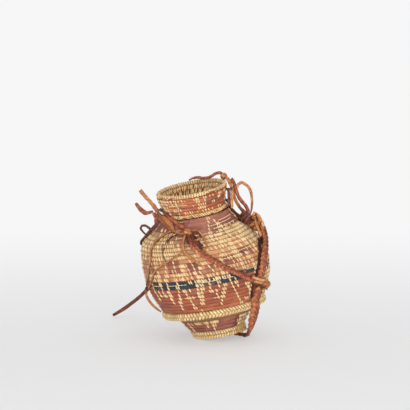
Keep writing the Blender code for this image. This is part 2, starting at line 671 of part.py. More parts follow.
for x_share, y_share, rise in (
    (0.415, 0.020, 1.0), (0.300, 0.110, 1.0), (0.180, 0.225, 1.0), (0.090, 0.370, 1.34),
    (0.030, 0.530, 1.42),
):
    under_points.append(floor_point(x_share, y_share, rise * STRAP_THICKNESS))
    under_normals.append(DOWN_SIDE)
under_points.append(floor_point(0.000, 0.640, 2.0 * STRAP_THICKNESS))
under_normals.append((DOWN_SIDE + BACK_SIDE * 0.45).normalized())
under_points.append(floor_point(-0.020, 0.735, 3.2 * STRAP_THICKNESS))
under_normals.append((DOWN_SIDE * 0.7 + BACK_SIDE).normalized())
for stop in (
    (179, BELLY_RING_SHARES[0] - 0.030, ring_outside - 0.012),
    (179, BELLY_RING_SHARES[0] + 0.006, ring_outside),
):
    under_points.append(ring_point(*stop))
    under_normals.append(BACK_SIDE)
for turn, share in trace(((178.5, 0.232), (178, 0.290), (177.5, 0.360), (177, 0.440), (176.5, 0.520),
    (176, 0.615))):
    under_points.append(skin_point(turn, share, LEATHER_LIFT))
    under_normals.append(skin_normal(turn, share))
strap(
    under_points, under_normals, [STRAP_WIDTH] * len(under_points), STRAP_THICKNESS, "carrying_strap",
    LEATHER_RED_COLOUR, under_points[0].copy(),
)

# Back: the knot that holds the strap to the girth thongs
lump(176, 0.640, 0.377, (1.154, 1.154, 0.723), 0, "back_knot", LEATHER_TAN_COLOUR)
skin_tube(((-100, 0.668), (-115, 0.652), (-135, 0.645), (-155, 0.643), (-180, 0.642)), THONG,
    "girth_thong_left", LEATHER_DARK_COLOUR)
skin_tube(((172, 0.643), (145, 0.652), (125, 0.664), (106, 0.684), (93, 0.700), (83, 0.712),
    (77, 0.716)), THONG, "girth_thong_right", LEATHER_DARK_COLOUR, 1.8)

# Right of the collar: the thongs from the rim down to the shoulder knot
free_tube(
    ((110.8, 1.030, 0.552), (120, 1.040, 0.546), (131, 1.033, 0.526), (141, 1.015, 0.510),
     (154, 1.0085, 0.500), (167, 1.018, 0.490), (177, 1.016, 0.503), (184, 1.008, 0.508)),
    THONG * 0.9, "rim_thong", LEATHER_DARK_COLOUR,
)
lump(105, 0.985, 0.000, (0.631, 0.631, 0.662), 0, "rim_knot", LEATHER_TAN_COLOUR,
    ring_point(105, 1.0236, 0.551))
free_tube(
    ((101, 1.016, 0.570), (97, 1.003, 0.600), (93, 0.983, 0.612), (92, 0.960, 0.632),
     (92, 0.927, 0.651), (90, 0.881, 0.662), (87, 0.838, 0.684), (82, 0.806, 0.732),
     (78, 0.782, 0.785), (74, 0.762, 0.815)),
    THIN_THONG * 1.1, "neck_thong_light", LEATHER_TAN_COLOUR,
)
free_tube(
    ((99, 1.000, 0.650), (99, 0.972, 0.686), (96, 0.929, 0.705), (94, 0.890, 0.721),
     (90, 0.850, 0.757), (85, 0.815, 0.810), (79, 0.782, 0.850), (75, 0.762, 0.860)),
    THICK_THONG, "neck_thong_dark", LEATHER_RED_COLOUR, (0.85, 0.75),
)
free_tube(((78, 0.957, 0.564), (80, 0.953, 0.610), (81, 0.948, 0.648)), THONG, "collar_band",
    LEATHER_DARK_COLOUR)
free_tube(((79, 0.948, 0.590), (79, 0.925, 0.592), (78, 0.897, 0.586), (76, 0.862, 0.575),
    (74, 0.845, 0.570)), THIN_THONG, "collar_drop_left", LEATHER_DARK_COLOUR)
free_tube(((81, 0.945, 0.640), (81, 0.920, 0.640), (79, 0.887, 0.630), (75, 0.850, 0.615),
    (73, 0.828, 0.605)), THIN_THONG, "collar_drop_right", LEATHER_TAN_COLOUR)
skin_tube(((88, 0.850), (87, 0.825), (85, 0.795), (82, 0.772), (77, 0.745), (75.5, 0.730)), THONG,
    "shoulder_wrap", LEATHER_DARK_COLOUR)
free_tube(
    ((94.7, 0.944, 0.7245), (94, 0.962, 0.750), (94, 0.969, 0.800), (92, 0.957, 0.854),
     (90, 0.930, 0.908), (88, 0.897, 0.933), (87, 0.859, 0.927), (85, 0.823, 0.906),
     (82, 0.795, 0.897), (79, 0.765, 0.884)),
    THIN_THONG, "tall_loop", LEATHER_TAN_COLOUR,
)

# The long thong leaves the back strap, stands away from the basket and ends on the floor
LONG_ROUTE_SHARES = (
    (-179.0, 0.405, 1.046), (-173, 0.408, 1.062), (-166, 0.408, 1.110), (-159, 0.400, 1.210),
    (-152, 0.382, 1.350), (-147, 0.358, 1.490), (-144, 0.326, 1.630), (-143, 0.288, 1.797),
    (-141, 0.240, 1.960), (-138.5, 0.200, 2.110), (-135, 0.166, 2.215), (-131, 0.139, 2.300),
)
tube([ring_point(*stop) for stop in trace(LONG_ROUTE_SHARES)], LONG_THONG, "long_thong",
    LEATHER_DARK_COLOUR, None, 2)

trim("wide_strap", "front_knot")
trim("left_neck_thong", "front_knot")
trim("left_hanging_thong", "front_knot", "lacing_knot")
trim("front_hanging_thong", "front_knot")
trim("front_small_loop", "front_knot", "front_braid")
trim("front_cross_thong", "front_braid", "front_small_loop")
trim("front_braid", "front_knot", "crossing_knot")
trim("left_side_thong", "wide_strap", "girth_thong_left")
trim("curled_thong_root", "left_side_thong")
trim("left_small_loop", "left_side_thong")
trim("left_lacing", "front_hanging_thong", "lacing_knot")
trim("lacing_tail", "lacing_knot", "left_hanging_thong")
trim("side_strap_upper", "shoulder_knot_tan", "crossing_knot")
trim("carrying_strap", "crossing_knot", "back_knot")
trim("girth_thong_left", "back_knot")
trim("girth_thong_right", "back_knot", "shoulder_knot_dark", "shoulder_knot_tan")
trim("shoulder_knot_dark", "shoulder_knot_tan")
trim("neck_tie", "shoulder_knot_dark")
trim("shoulder_wrap", "neck_tie", "shoulder_knot_dark")
trim("tall_loop", "shoulder_knot_dark", "shoulder_knot_tan")
trim("neck_thong_light", "rim_knot", "shoulder_knot_dark")
trim("neck_thong_dark", "shoulder_knot_dark", "shoulder_knot_tan")
trim("collar_drop_left", "collar_band", "neck_tie")
trim("collar_drop_right", "collar_band", "neck_tie")

# The origin goes on the floor under the middle of everything but the loose long thong
bpy.context.view_layer.update()
reached = [
    piece.matrix_world @ vertex.co for piece in basket_collection.objects
    if piece.type == "MESH" and piece.name != "long_thong" for vertex in piece.data.vertices
]
for side in (0, 1):
    furthest = max(point[side] for point in reached)
    nearest = min(point[side] for point in reached)
    lean_frame.location[side] = -(furthest + nearest) / 2
bpy.context.view_layer.update()
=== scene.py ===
# %% [markdown]
# # A coiled basket in a leather sling
#
# The real object is a small pot-shaped basket. Long bundles of grass are coiled from the floor
# upwards, each row is faced with strips of dyed leaf, and split straw is sewn over every row to bind
# it to the one below. Worn leather straps and thongs are tied round it, so that it can be carried.
#
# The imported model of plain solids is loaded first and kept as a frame. Every piece that is made
# below lies where its solid lies, rides on the same body and stands for that solid.

# %% Load the frame
import math

import bpy
import numpy as np
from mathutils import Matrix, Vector


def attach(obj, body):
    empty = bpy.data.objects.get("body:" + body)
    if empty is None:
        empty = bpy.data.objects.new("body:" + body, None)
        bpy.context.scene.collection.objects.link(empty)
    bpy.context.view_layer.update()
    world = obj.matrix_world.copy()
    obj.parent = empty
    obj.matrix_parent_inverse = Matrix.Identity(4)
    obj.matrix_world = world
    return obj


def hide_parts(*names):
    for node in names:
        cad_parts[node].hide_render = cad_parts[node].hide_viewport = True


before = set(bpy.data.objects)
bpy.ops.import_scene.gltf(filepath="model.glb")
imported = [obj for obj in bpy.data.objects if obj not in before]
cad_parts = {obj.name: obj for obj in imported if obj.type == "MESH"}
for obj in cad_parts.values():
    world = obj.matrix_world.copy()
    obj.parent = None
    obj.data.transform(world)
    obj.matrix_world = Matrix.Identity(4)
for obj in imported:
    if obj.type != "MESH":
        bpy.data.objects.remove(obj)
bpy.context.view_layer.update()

# %% [markdown]
# ## The camera
#
# The picture was taken from well back with a long lens, so the basket shows almost without
# perspective. The camera looks slightly down, 8.5 degrees below level. A long lens on a far camera
# is chosen here too, because a near camera would round the basket's sides off too early.

# %% Place the camera
LENS_MM = 190.24
LOOK_DOWN_DEGREES = 8.5
CAMERA_PLACE = (0.002672, -2.57232, 0.5456)
camera_data = bpy.data.cameras.new("picture_camera")
camera_data.lens = LENS_MM
camera_data.sensor_width = 36.0
camera_data.clip_start = 0.1
camera_data.clip_end = 60.0
camera = bpy.data.objects.new("picture_camera", camera_data)
camera.location = CAMERA_PLACE
camera.rotation_euler = (math.radians(90.0 - LOOK_DOWN_DEGREES), 0.0, 0.0)
bpy.context.scene.collection.objects.link(camera)
bpy.context.scene.camera = camera
print("camera", tuple(camera.location), "lens", LENS_MM, "mm")

# %% [markdown]
# ## The turned form
#
# A coiled basket is a form of revolution that has slumped. Its outline is a short table of heights
# and radii, written as shares of the basket's height and of its widest radius. Reading such a table
# along a smooth line gives every row its place. The same tables could be a curve with a screw
# modifier, but every stitch below has to find its own place on the wall, so plain arithmetic on
# whole arrays of points is quicker and more exact.

# %% Sizes of the basket
BASKET_HEIGHT = 0.1812
BELLY_RADIUS = 0.0756
COIL_THICKNESS = 0.0048
LEAN_DEGREES = 10.0
FRAME_SHIFT = (0.019472, -0.00092, 0.004669)
BELLY_SHARES = (
    (0.213, 0.821), (0.238, 0.849), (0.290, 0.908), (0.343, 0.952), (0.387, 0.981), (0.457, 1.0),
    (0.517, 0.997), (0.563, 0.971), (0.629, 0.925), (0.666, 0.886), (0.702, 0.817), (0.735, 0.730),
    (0.782, 0.622), (0.829, 0.532),
)
NECK_SHARES = ((0.845, 0.517), (0.861, 0.510))
COLLAR_SHARES = ((0.861, 0.498), (0.900, 0.514), (0.937, 0.538), (0.974, 0.566))
FOOT_SHARES = ((0.0565, 0.448), (0.093, 0.512), (0.1305, 0.579))
SKIN_SHARES = BELLY_SHARES + NECK_SHARES + COLLAR_SHARES[1:] + ((1.0, 0.570),)
SAG_SHARES = (
    (-0.1, 0.0), (0.457, 0.0), (0.517, -0.013), (0.563, -0.035), (0.629, -0.063), (0.666, -0.083),
    (0.702, -0.095), (0.735, -0.075), (0.782, -0.037), (0.829, -0.026), (0.880, -0.038),
    (1.1, -0.006),
)
NOD_DEGREES = (
    (-0.1, 0.0), (0.0, 0.0), (0.132, -1.6), (0.185, -2.0), (0.430, -1.2), (0.728, 1.0),
    (0.848, 2.2), (1.1, 4.2),
)
print("basket", round(BASKET_HEIGHT * 1000, 1), "mm high,", round(2 * BELLY_RADIUS * 1000, 1), "mm wide")

# %% Read a table along a smooth line
def read_table(table, share):
    """One value between the table's pairs, on a line that keeps its slope through each pair."""
    if share <= table[0][0]:
        return table[0][1]
    if share >= table[-1][0]:
        return table[-1][1]
    index = max(i for i in range(len(table) - 1) if table[i][0] <= share)
    x0, y0 = table[index]
    x1, y1 = table[index + 1]
    before = table[max(index - 1, 0)]
    after = table[min(index + 2, len(table) - 1)]
    width = x1 - x0
    slope0 = (y1 - before[1]) / (x1 - before[0])
    slope1 = (after[1] - y0) / (after[0] - x0)
    t = (share - x0) / width
    return (
        y0 * (2 * t ** 3 - 3 * t ** 2 + 1) + slope0 * width * (t ** 3 - 2 * t ** 2 + t)
        + y1 * (3 * t ** 2 - 2 * t ** 3) + slope1 * width * (t ** 3 - t ** 2)
    )


def fine_line(table, steps=900):
    """The same line sampled finely, so that whole arrays can be read from it at once."""
    shares = np.linspace(table[0][0], table[-1][0], steps)
    return shares, np.array([read_table(table, share) for share in shares])


SKIN_LINE = fine_line(SKIN_SHARES)
SAG_LINE = fine_line(SAG_SHARES)
NOD_LINE = fine_line(NOD_DEGREES)
print("widest radius", round(SKIN_LINE[1].max() * BELLY_RADIUS * 1000, 1), "mm")

# %% From the upright form to the leaning basket
def settle(points):
    """Sags and nods points of the true turned form, then leans the whole to its left."""
    share = points[..., 2] / BASKET_HEIGHT
    x = points[..., 0] + np.interp(share, *SAG_LINE) * BELLY_RADIUS
    y = points[..., 1]
    z = points[..., 2] + np.tan(np.radians(np.interp(share, *NOD_LINE))) * y
    lean = math.radians(LEAN_DEGREES)
    leaned = np.stack([
        x * math.cos(lean) - z * math.sin(lean), y, x * math.sin(lean) + z * math.cos(lean),
    ], axis=-1)
    return leaned + np.array(FRAME_SHIFT)


def round_points(turn, height, radius):
    """Points by their turn from the front in degrees, their height and their radius in metres."""
    turn, height, radius = np.broadcast_arrays(np.radians(turn), height, radius)
    return settle(np.stack([radius * np.sin(turn), -radius * np.cos(turn), height], axis=-1))


def ring(turn, height_share, radius_share):
    """The same from shares of the height and of the widest radius."""
    return round_points(turn, np.multiply(height_share, BASKET_HEIGHT),
        np.multiply(radius_share, BELLY_RADIUS))


def skin(turn, height_share, lift):
    """A point on the basket's outside, lifted off along the outward direction."""
    small = 0.004
    low = np.interp(np.subtract(height_share, small), *SKIN_LINE) * BELLY_RADIUS
    high = np.interp(np.add(height_share, small), *SKIN_LINE) * BELLY_RADIUS
    run = np.hypot(high - low, 2 * small * BASKET_HEIGHT)
    across, along = (high - low) / run, 2 * small * BASKET_HEIGHT / run
    radius = np.interp(height_share, *SKIN_LINE) * BELLY_RADIUS + along * lift
    return round_points(turn, np.multiply(height_share, BASKET_HEIGHT) - across * lift, radius)


def unit_length(vectors):
    """Directions brought to length one."""
    return vectors / np.linalg.norm(vectors, axis=-1, keepdims=True)


def skin_out(turn, height_share):
    """The outward direction of the basket's outside."""
    return unit_length(skin(turn, height_share, COIL_THICKNESS) - skin(turn, height_share, 0.0))


print("mouth's left tip", np.round(ring(-90, 0.9875, 0.57), 4))

# %% [markdown]
# ## Sewing arrays into meshes
#
# Thousands of stitches are needed, so they are worked out as arrays and sewn into one mesh a piece.
# Each mesh also carries two notes for its material: `dye`, the colour of each point, and `lay`, a
# place measured along the fibre, with which a texture can be stretched the way the fibre runs.

# %% Colour and shade
def tint(red, green, blue):
    """A colour as on a paint card, 0 to 255, turned into the light it reflects."""
    card = np.array((red, green, blue)) / 255.0
    return np.where(card <= 0.04045, card / 12.92, ((card + 0.055) / 1.055) ** 2.4)


def shaded(dye, light):
    """The dye in shade: what light is left between strands gets warmer as it fades."""
    return dye * np.clip(light, 0.02, 1.3)[..., None] ** np.array((0.80, 1.08, 1.42))


print("the card's middle grey reflects", np.round(tint(128, 128, 128), 3))

# %% A parcel of points, faces, dye and lay
def outward(points, faces):
    """Turns all faces over if the body they close would be inside out."""
    a, b, c, d = (points[faces[:, k]] for k in range(4))
    volume = np.einsum("ij,ij->i", a, np.cross(b, c)).sum()
    volume += np.einsum("ij,ij->i", a, np.cross(c, d)).sum()
    return faces if volume > 0 else faces[:, ::-1]


def parcel(points, faces, dye, lay):
    """Keeps the four arrays of one piece together, with one dye for all if only one is given."""
    points = points.reshape(-1, 3)
    dye = np.broadcast_to(dye, points.shape) if np.ndim(dye) == 1 else dye.reshape(-1, 3)
    return points, outward(points, faces), dye, lay.reshape(-1, 3)


def joined(parcels):
    """Several parcels as one."""
    shift, all_faces = 0, []
    for points, faces, _, _ in parcels:
        all_faces.append(faces + shift)
        shift += len(points)
    return (np.concatenate([p[0] for p in parcels]), np.concatenate(all_faces),
        np.concatenate([p[2] for p in parcels]), np.concatenate([p[3] for p in parcels]))


def tube_faces(count, rows, columns, closed=False):
    """Faces of count tubes, each of rows rings of columns points; the ends are joined or capped."""
    row = np.arange(rows if closed else rows - 1)[:, None]
    column = np.arange(columns)[None, :]
    next_row, next_column = (row + 1) % rows, (column + 1) % columns
    one = np.stack([
        row * columns + column, row * columns + next_column,
        next_row * columns + next_column, next_row * columns + column,
    ], axis=-1).reshape(-1, 4)
    base = np.arange(count)[:, None, None] * rows * columns
    faces = (one[None] + base).reshape(-1, 4)
    if closed:
        return faces
    cap = np.array([(k, k + 1, columns - 2 - k, columns - 1 - k) for k in range(columns // 2 - 1)])
    caps = np.concatenate([cap, cap[:, ::-1] + (rows - 1) * columns])
    return np.concatenate([faces, (caps[None] + base).reshape(-1, 4)])


print("faces of one capped tube of 3 rings of 6 points:", len(tube_faces(1, 3, 6)))

# %% Make a piece from a parcel
def make_piece(name, parts, finish, slot, *nodes, body="basket"):
    """Sews parcels into one object that rides on a body and stands for the named solids."""
    points, faces, dye, lay = joined(parts if isinstance(parts, list) else [parts])
    mesh = bpy.data.meshes.new(name)
    mesh.vertices.add(len(points))
    mesh.vertices.foreach_set("co", points.astype(np.float32).ravel())
    mesh.loops.add(faces.size)
    mesh.loops.foreach_set("vertex_index", faces.astype(np.int32).ravel())
    mesh.polygons.add(len(faces))
    mesh.polygons.foreach_set("loop_start", np.arange(0, faces.size, 4, dtype=np.int32))
    mesh.update(calc_edges=True)
    mesh.validate()
    mesh.polygons.foreach_set("use_smooth", np.ones(len(mesh.polygons), dtype=bool))
    colours = mesh.attributes.new("dye", "FLOAT_COLOR", "POINT")
    colours.data.foreach_set("color",
        np.concatenate([dye, np.ones((len(dye), 1))], axis=1).astype(np.float32).ravel())
    places = mesh.attributes.new("lay", "FLOAT_VECTOR", "POINT")
    places.data.foreach_set("vector", lay.astype(np.float32).ravel())
    mesh.materials.append(finish)
    piece = bpy.data.objects.new(name, mesh)
    bpy.context.scene.collection.objects.link(piece)
    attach(piece, body)
    if nodes:
        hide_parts(*nodes)
    print(name, "points", len(points), "faces", len(faces))
    return piece


# %% [markdown]
# ## Finishes
#
# Three stuffs make the basket: dyed palm leaf, split straw and leather. Each finish is a small
# network of nodes. Raised detail that the eye can see is in the meshes, and the nodes only add the
# fibres and pores that are finer than a mesh can hold. Networks can be drawn by hand in the shader
# editor; here a small helper adds and links the nodes, so that each finish reads like a recipe.

# %% A helper for node networks
class Bench:
    """Adds and links the nodes of one finish."""

    def __init__(self, name):
        self.finish = bpy.data.materials.new(name)
        self.finish.use_nodes = True
        self.tree = self.finish.node_tree
        self.shader = self.tree.nodes["Principled BSDF"]

    def add(self, kind, inputs=(), **settings):
        """One node; an input takes a link, a number or a colour, which gets its alpha here."""
        node = self.tree.nodes.new(kind)
        for key, value in settings.items():
            setattr(node, key, value)
        for socket, value in dict(inputs).items():
            if isinstance(value, bpy.types.NodeSocket):
                self.tree.links.new(value, node.inputs[socket])
            elif isinstance(value, np.ndarray):
                node.inputs[socket].default_value = (*value, 1.0)
            else:
                node.inputs[socket].default_value = value
        return node

    def dye(self):
        return self.add("ShaderNodeAttribute", attribute_name="dye").outputs["Color"]

    def lay(self, stretch):
        """The place along the fibre, stretched by three scales."""
        note = self.add("ShaderNodeAttribute", attribute_name="lay")
        return self.add("ShaderNodeMapping", {"Vector": note.outputs["Vector"], "Scale": stretch}
            ).outputs["Vector"]

    def noise(self, vector, scale=1.0, detail=4.0, roughness=0.6):
        return self.add("ShaderNodeTexNoise", {
            "Vector": vector, "Scale": scale, "Detail": detail, "Roughness": roughness,
        }).outputs["Fac"]

    def steps(self, value, *stops):
        """A ramp from (place, grey or colour) stops."""
        ramp = self.add("ShaderNodeValToRGB", {"Fac": value})
        elements = ramp.color_ramp.elements
        while len(elements) < len(stops):
            elements.new(0.5)
        for element, (place, colour) in zip(elements, stops):
            element.position = place
            element.color = (*np.broadcast_to(colour, 3), 1.0)
        return ramp.outputs["Color"]

    def mix(self, blend, amount, a, b):
        """Two colours, mixed by an amount."""
        return self.add("ShaderNodeMix", {0: amount, 6: a, 7: b}, data_type="RGBA",
            blend_type=blend).outputs[2]

    def maths(self, operation, a, b=0.0):
        return self.add("ShaderNodeMath", {0: a, 1: b}, operation=operation).outputs[0]

    def end(self, colour, roughness, height=None, bump=0.5, distance=0.0003):
        """Links colour, shine and relief to the shader."""
        link = self.tree.links.new
        link(colour, self.shader.inputs["Base Color"])
        link(roughness, self.shader.inputs["Roughness"])
        if height is not None:
            relief = self.add("ShaderNodeBump", {
                "Strength": bump, "Distance": distance, "Height": height,
            })
            link(relief.outputs["Normal"], self.shader.inputs["Normal"])
        return self.finish


print("finishes before the first of ours", len(bpy.data.materials))


# %% [markdown]
# A strip of dyed leaf is flat and dull. The dye sits in its long fibres and has worn off in places,
# so streaks that run along the coil set its shade and its shine. A photographed strip could be laid
# on as an image, but noise that is stretched along `lay` has no seam and never repeats.

# %% The dyed leaf
def leaf_finish(name):
    """Flat strips of dyed leaf: long streaks, faded patches and a dull shine."""
    bench = Bench(name)
    dye = bench.dye()
    streaks = bench.noise(bench.lay((60.0, 60.0, 1900.0)), 1.0, 5.0, 0.65)
    fades = bench.noise(bench.lay((55.0, 55.0, 150.0)), 1.0, 3.0, 0.5)
    threads = bench.noise(bench.lay((220.0, 220.0, 4200.0)), 1.0, 2.0, 0.5)
    shade = bench.steps(streaks, (0.28, 0.40), (0.47, 0.92), (0.70, 1.36))
    colour = bench.mix("MULTIPLY", 0.9, dye, shade)
    worn = bench.mix("MIX", bench.steps(fades, (0.52, 0.0), (0.78, 0.45)), colour, tint(196, 140, 104))
    split = bench.steps(threads, (0.32, 0.34), (0.44, 1.0))
    colour = bench.mix("MULTIPLY", 0.6, worn, split)
    height = bench.maths("ADD", streaks, bench.maths("MULTIPLY", threads, 0.6))
    bench.shader.inputs["Specular IOR Level"].default_value = 0.35
    return bench.end(colour, bench.steps(streaks, (0.3, 0.72), (0.7, 0.5)), height, 0.55, 0.0004)


LEAF = leaf_finish("dyed_leaf")
print("nodes of the dyed leaf", len(LEAF.node_tree.nodes))

# %% [markdown]
# Split straw is pale, hard and a little glossy, with fine lines along it and a few brown stains. Every
# stitch carries a `lay` of its own, so its lines run with the stitch, whichever way that leans.

# %% The split straw
def straw_finish(name):
    """Split straw: pale, a little glossy, with fine lines along each strip."""
    bench = Bench(name)
    dye = bench.dye()
    lines = bench.noise(bench.lay((180.0, 4200.0, 4200.0)), 1.0, 3.0, 0.6)
    marks = bench.noise(bench.lay((420.0, 900.0, 900.0)), 1.0, 3.0, 0.55)
    shade = bench.steps(lines, (0.30, 0.56), (0.50, 0.98), (0.72, 1.16))
    colour = bench.mix("MULTIPLY", 0.85, dye, shade)
    stain = bench.steps(marks, (0.56, 0.0), (0.80, 0.55))
    colour = bench.mix("MIX", stain, colour, tint(150, 104, 60))
    bench.shader.inputs["Specular IOR Level"].default_value = 0.4
    return bench.end(colour, bench.steps(lines, (0.3, 0.62), (0.7, 0.42)), lines, 0.45, 0.0003)


STRAW = straw_finish("split_straw")
print("nodes of the split straw", len(STRAW.node_tree.nodes))

# %% [markdown]
# Old leather is never one brown. Handling rubs it pale in patches, it is darker along the low lines
# of its creases, and its grain shows as fine pebbles, which a pattern of cells gives better than
# noise. Three finishes differ only in their browns: tan for the thongs, red for the straps, and dark
# for what lies in the shade.

# %% The leather
def leather_finish(name, dark, light, bare):
    """Worn leather: two browns, darker creases, rubbed pale edges and a fine pebbled grain."""
    bench = Bench(name)
    along = bench.lay((260.0, 420.0, 420.0))
    mottle = bench.noise(along, 1.0, 5.0, 0.62)
    grain = bench.add("ShaderNodeTexVoronoi", {
        "Vector": bench.lay((1.0, 1.0, 1.0)), "Scale": 1500.0,
    }, feature="DISTANCE_TO_EDGE").outputs["Distance"]
    creases = bench.noise(bench.lay((900.0, 160.0, 160.0)), 1.0, 4.0, 0.7)
    shade = bench.dye()
    colour = bench.mix("MIX", bench.steps(mottle, (0.32, 0.0), (0.66, 1.0)), dark, light)
    worn = bench.steps(bench.noise(bench.lay((130.0, 700.0, 700.0))), (0.54, 0.0), (0.74, 0.75))
    colour = bench.mix("MIX", worn, colour, bare)
    colour = bench.mix("MULTIPLY", 0.75, colour, bench.steps(creases, (0.30, 0.30), (0.47, 1.0)))
    # The dye note holds each strand's shade: its tone, and the painted shade of its edges, underside and
    # hollows.
    colour = bench.mix("MULTIPLY", 1.0, colour, shade)
    pores = bench.steps(grain, (0.0, 0.0), (0.18, 1.0))
    height = bench.maths("ADD", bench.maths("MULTIPLY", pores, 0.35), creases)
    bench.shader.inputs["Specular IOR Level"].default_value = 0.4
    return bench.end(colour, bench.steps(mottle, (0.3, 0.68), (0.7, 0.48)), height, 0.5, 0.0004)


LEATHERS = {}
for colour, *browns in (
    ("tan", tint(162, 94, 50), tint(218, 148, 90), tint(242, 198, 150)),
    ("red", tint(122, 54, 34), tint(192, 106, 70), tint(218, 152, 110)),
    ("dark", tint(78, 36, 26), tint(146, 78, 56), tint(186, 122, 90)),
):
    slot = colour + "_leather"
    LEATHERS[colour] = (leather_finish(slot, *browns), slot)


def leather_piece(name, parts, colour, *nodes, body="basket"):
    """A piece of leather in one of the three colours."""
    return make_piece(name, parts, *LEATHERS[colour], *nodes, body=body)


print("finishes made:", len(bpy.data.materials))

# %% [markdown]
# ## Strands of leather
#
# Every strap, thong and braid is a section drawn along a smooth route. A route is a list of stops,
# each a turn from the front, a height and sometimes a radius. A curve object with a bevel could do
# it, but a hand-made sweep lets the section turn with the basket's surface, narrow at its end and
# carry the `lay` note for the finish.

# %% Smooth routes
ROUTE_STEP = 0.0022


def smooth(stops, step, distance):
    """Adds stops on a smooth line; distance gives the metres of the change between two stops."""
    fine = []
    for index in range(len(stops) - 1):
        a, b = stops[index], stops[index + 1]
        before = stops[index - 1] if index else 2 * a - b
        after = stops[index + 2] if index + 2 < len(stops) else 2 * b - a
        count = max(1, round(distance(b - a) / step))
        for t in np.arange(count) / count:
            fine.append(0.5 * (2 * a + (b - before) * t + (2 * before - 5 * a + 4 * b - after) * t ** 2
                + (3 * a - before - 3 * b + after) * t ** 3))
    return np.array(fine + [stops[-1]])


def over_belly(change):
    """The metres on the belly of a change in turn and height."""
    return math.hypot(math.radians(change[0]) * BELLY_RADIUS, change[1] * BASKET_HEIGHT)


def trace(route, step=ROUTE_STEP):
    """Adds stops between the stops of a route along a smooth line."""
    return smooth(np.array(route, float), step, over_belly)


def smooth_points(points, step):
    """The same for points in metres; extra columns, such as an outward direction, come along."""
    return smooth(points, step, lambda change: np.linalg.norm(change[:3]))


def walked(points):
    """The distance along a line at each of its points."""
    return np.concatenate([[0.0], np.cumsum(np.linalg.norm(np.diff(points, axis=0), axis=1))])


print("stops on a tenth of the way round", len(trace(((0, 0.5), (36, 0.5)))))

# %% Directions along a line
def directions(line, closed=False):
    """The unit direction of a line at each of its points."""
    if closed:
        ahead = np.roll(line, -1, axis=0) - np.roll(line, 1, axis=0)
    else:
        ahead = np.gradient(line, axis=0)
    return ahead / np.maximum(np.linalg.norm(ahead, axis=1, keepdims=True), 1e-9)


def carried_up(line, start):
    """An outward direction carried along a line without twisting."""
    ups = [np.array(start, float)]
    for direction in directions(line):
        ups.append(unit_length(ups[-1] - direction * np.dot(ups[-1], direction)))
    return np.array(ups[1:])


def twisted(line, ups, angle):
    """Outward directions turned about the line, by an angle in radians at each point."""
    across = np.cross(directions(line), ups)
    return ups * np.cos(angle)[:, None] + across * np.sin(angle)[:, None]


print("along the x axis a line runs", directions(np.array(((0.0, 0, 0), (1, 0, 0), (2, 0, 0))))[0])

# %% Draw a section along a line
FLAT_SECTION = (
    (1.0, -0.35), (1.0, 0.35), (0.90, 0.85), (0.62, 1.0), (0.0, 0.92), (-0.62, 1.0), (-0.90, 0.85),
    (-1.0, 0.35), (-1.0, -0.35), (-0.80, -0.95), (0.0, -1.0), (0.80, -0.95),
)


def strand(line, ups, width, thickness, section=FLAT_SECTION, closed=False, seed=0, rough=0.05,
        shade=1.0):
    """A strand of leather round a line; width, thickness and shade may vary along it."""
    draw = np.random.default_rng(seed)
    count = len(line)
    ahead = directions(line, closed)
    ups = ups - ahead * np.sum(ups * ahead, axis=1, keepdims=True)
    ups = ups / np.maximum(np.linalg.norm(ups, axis=1, keepdims=True), 1e-9)
    across = np.cross(ahead, ups)
    width = np.broadcast_to(width, count) / 2
    thickness = np.broadcast_to(thickness, count) / 2
    reach = walked(line)
    phases = draw.uniform(0, 6.28, 4)
    wavering = 1 + rough * (np.sin(reach * 900 + phases[0]) + np.sin(reach * 390 + phases[1])) / 1.4
    corners = np.array(section)
    shift = rough * 0.5 * np.sin(reach[:, None] * 700 + phases[2] + np.arange(len(corners)) * 2.1)
    scale = wavering[:, None] + shift
    points = (
        line[:, None] + across[:, None] * (corners[:, 0] * width[:, None] * scale)[..., None]
        + ups[:, None] * (corners[:, 1] * thickness[:, None] * scale)[..., None]
    )
    edge = np.abs(np.linspace(-1, 1, len(corners)))
    lay = np.stack([
        np.broadcast_to(reach[:, None] + draw.uniform(0, 3), scale.shape),
        np.broadcast_to(edge * width.mean() * 2 + draw.uniform(0, 1), scale.shape),
        np.full(scale.shape, draw.uniform(0, 1)),
    ], axis=-1)
    # Painted shade: a flat section is darkened on its underside and at both edges.
    edges = np.where(np.abs(corners[:, 0]) > 0.85, 0.55, 1.0)
    shadow = np.clip(0.68 + 0.44 * corners[:, 1], 0.25, 1.0) * edges * draw.uniform(0.84, 1.12)
    if section is not FLAT_SECTION:
        shadow = np.ones(len(corners))
    light = shadow * np.broadcast_to(shade, count)[:, None]
    shades = shaded(np.ones((count, len(corners), 3)), light)
    return parcel(points, tube_faces(1, count, len(corners), closed), shades, lay)


print("corners of a flat thong's section", len(FLAT_SECTION))
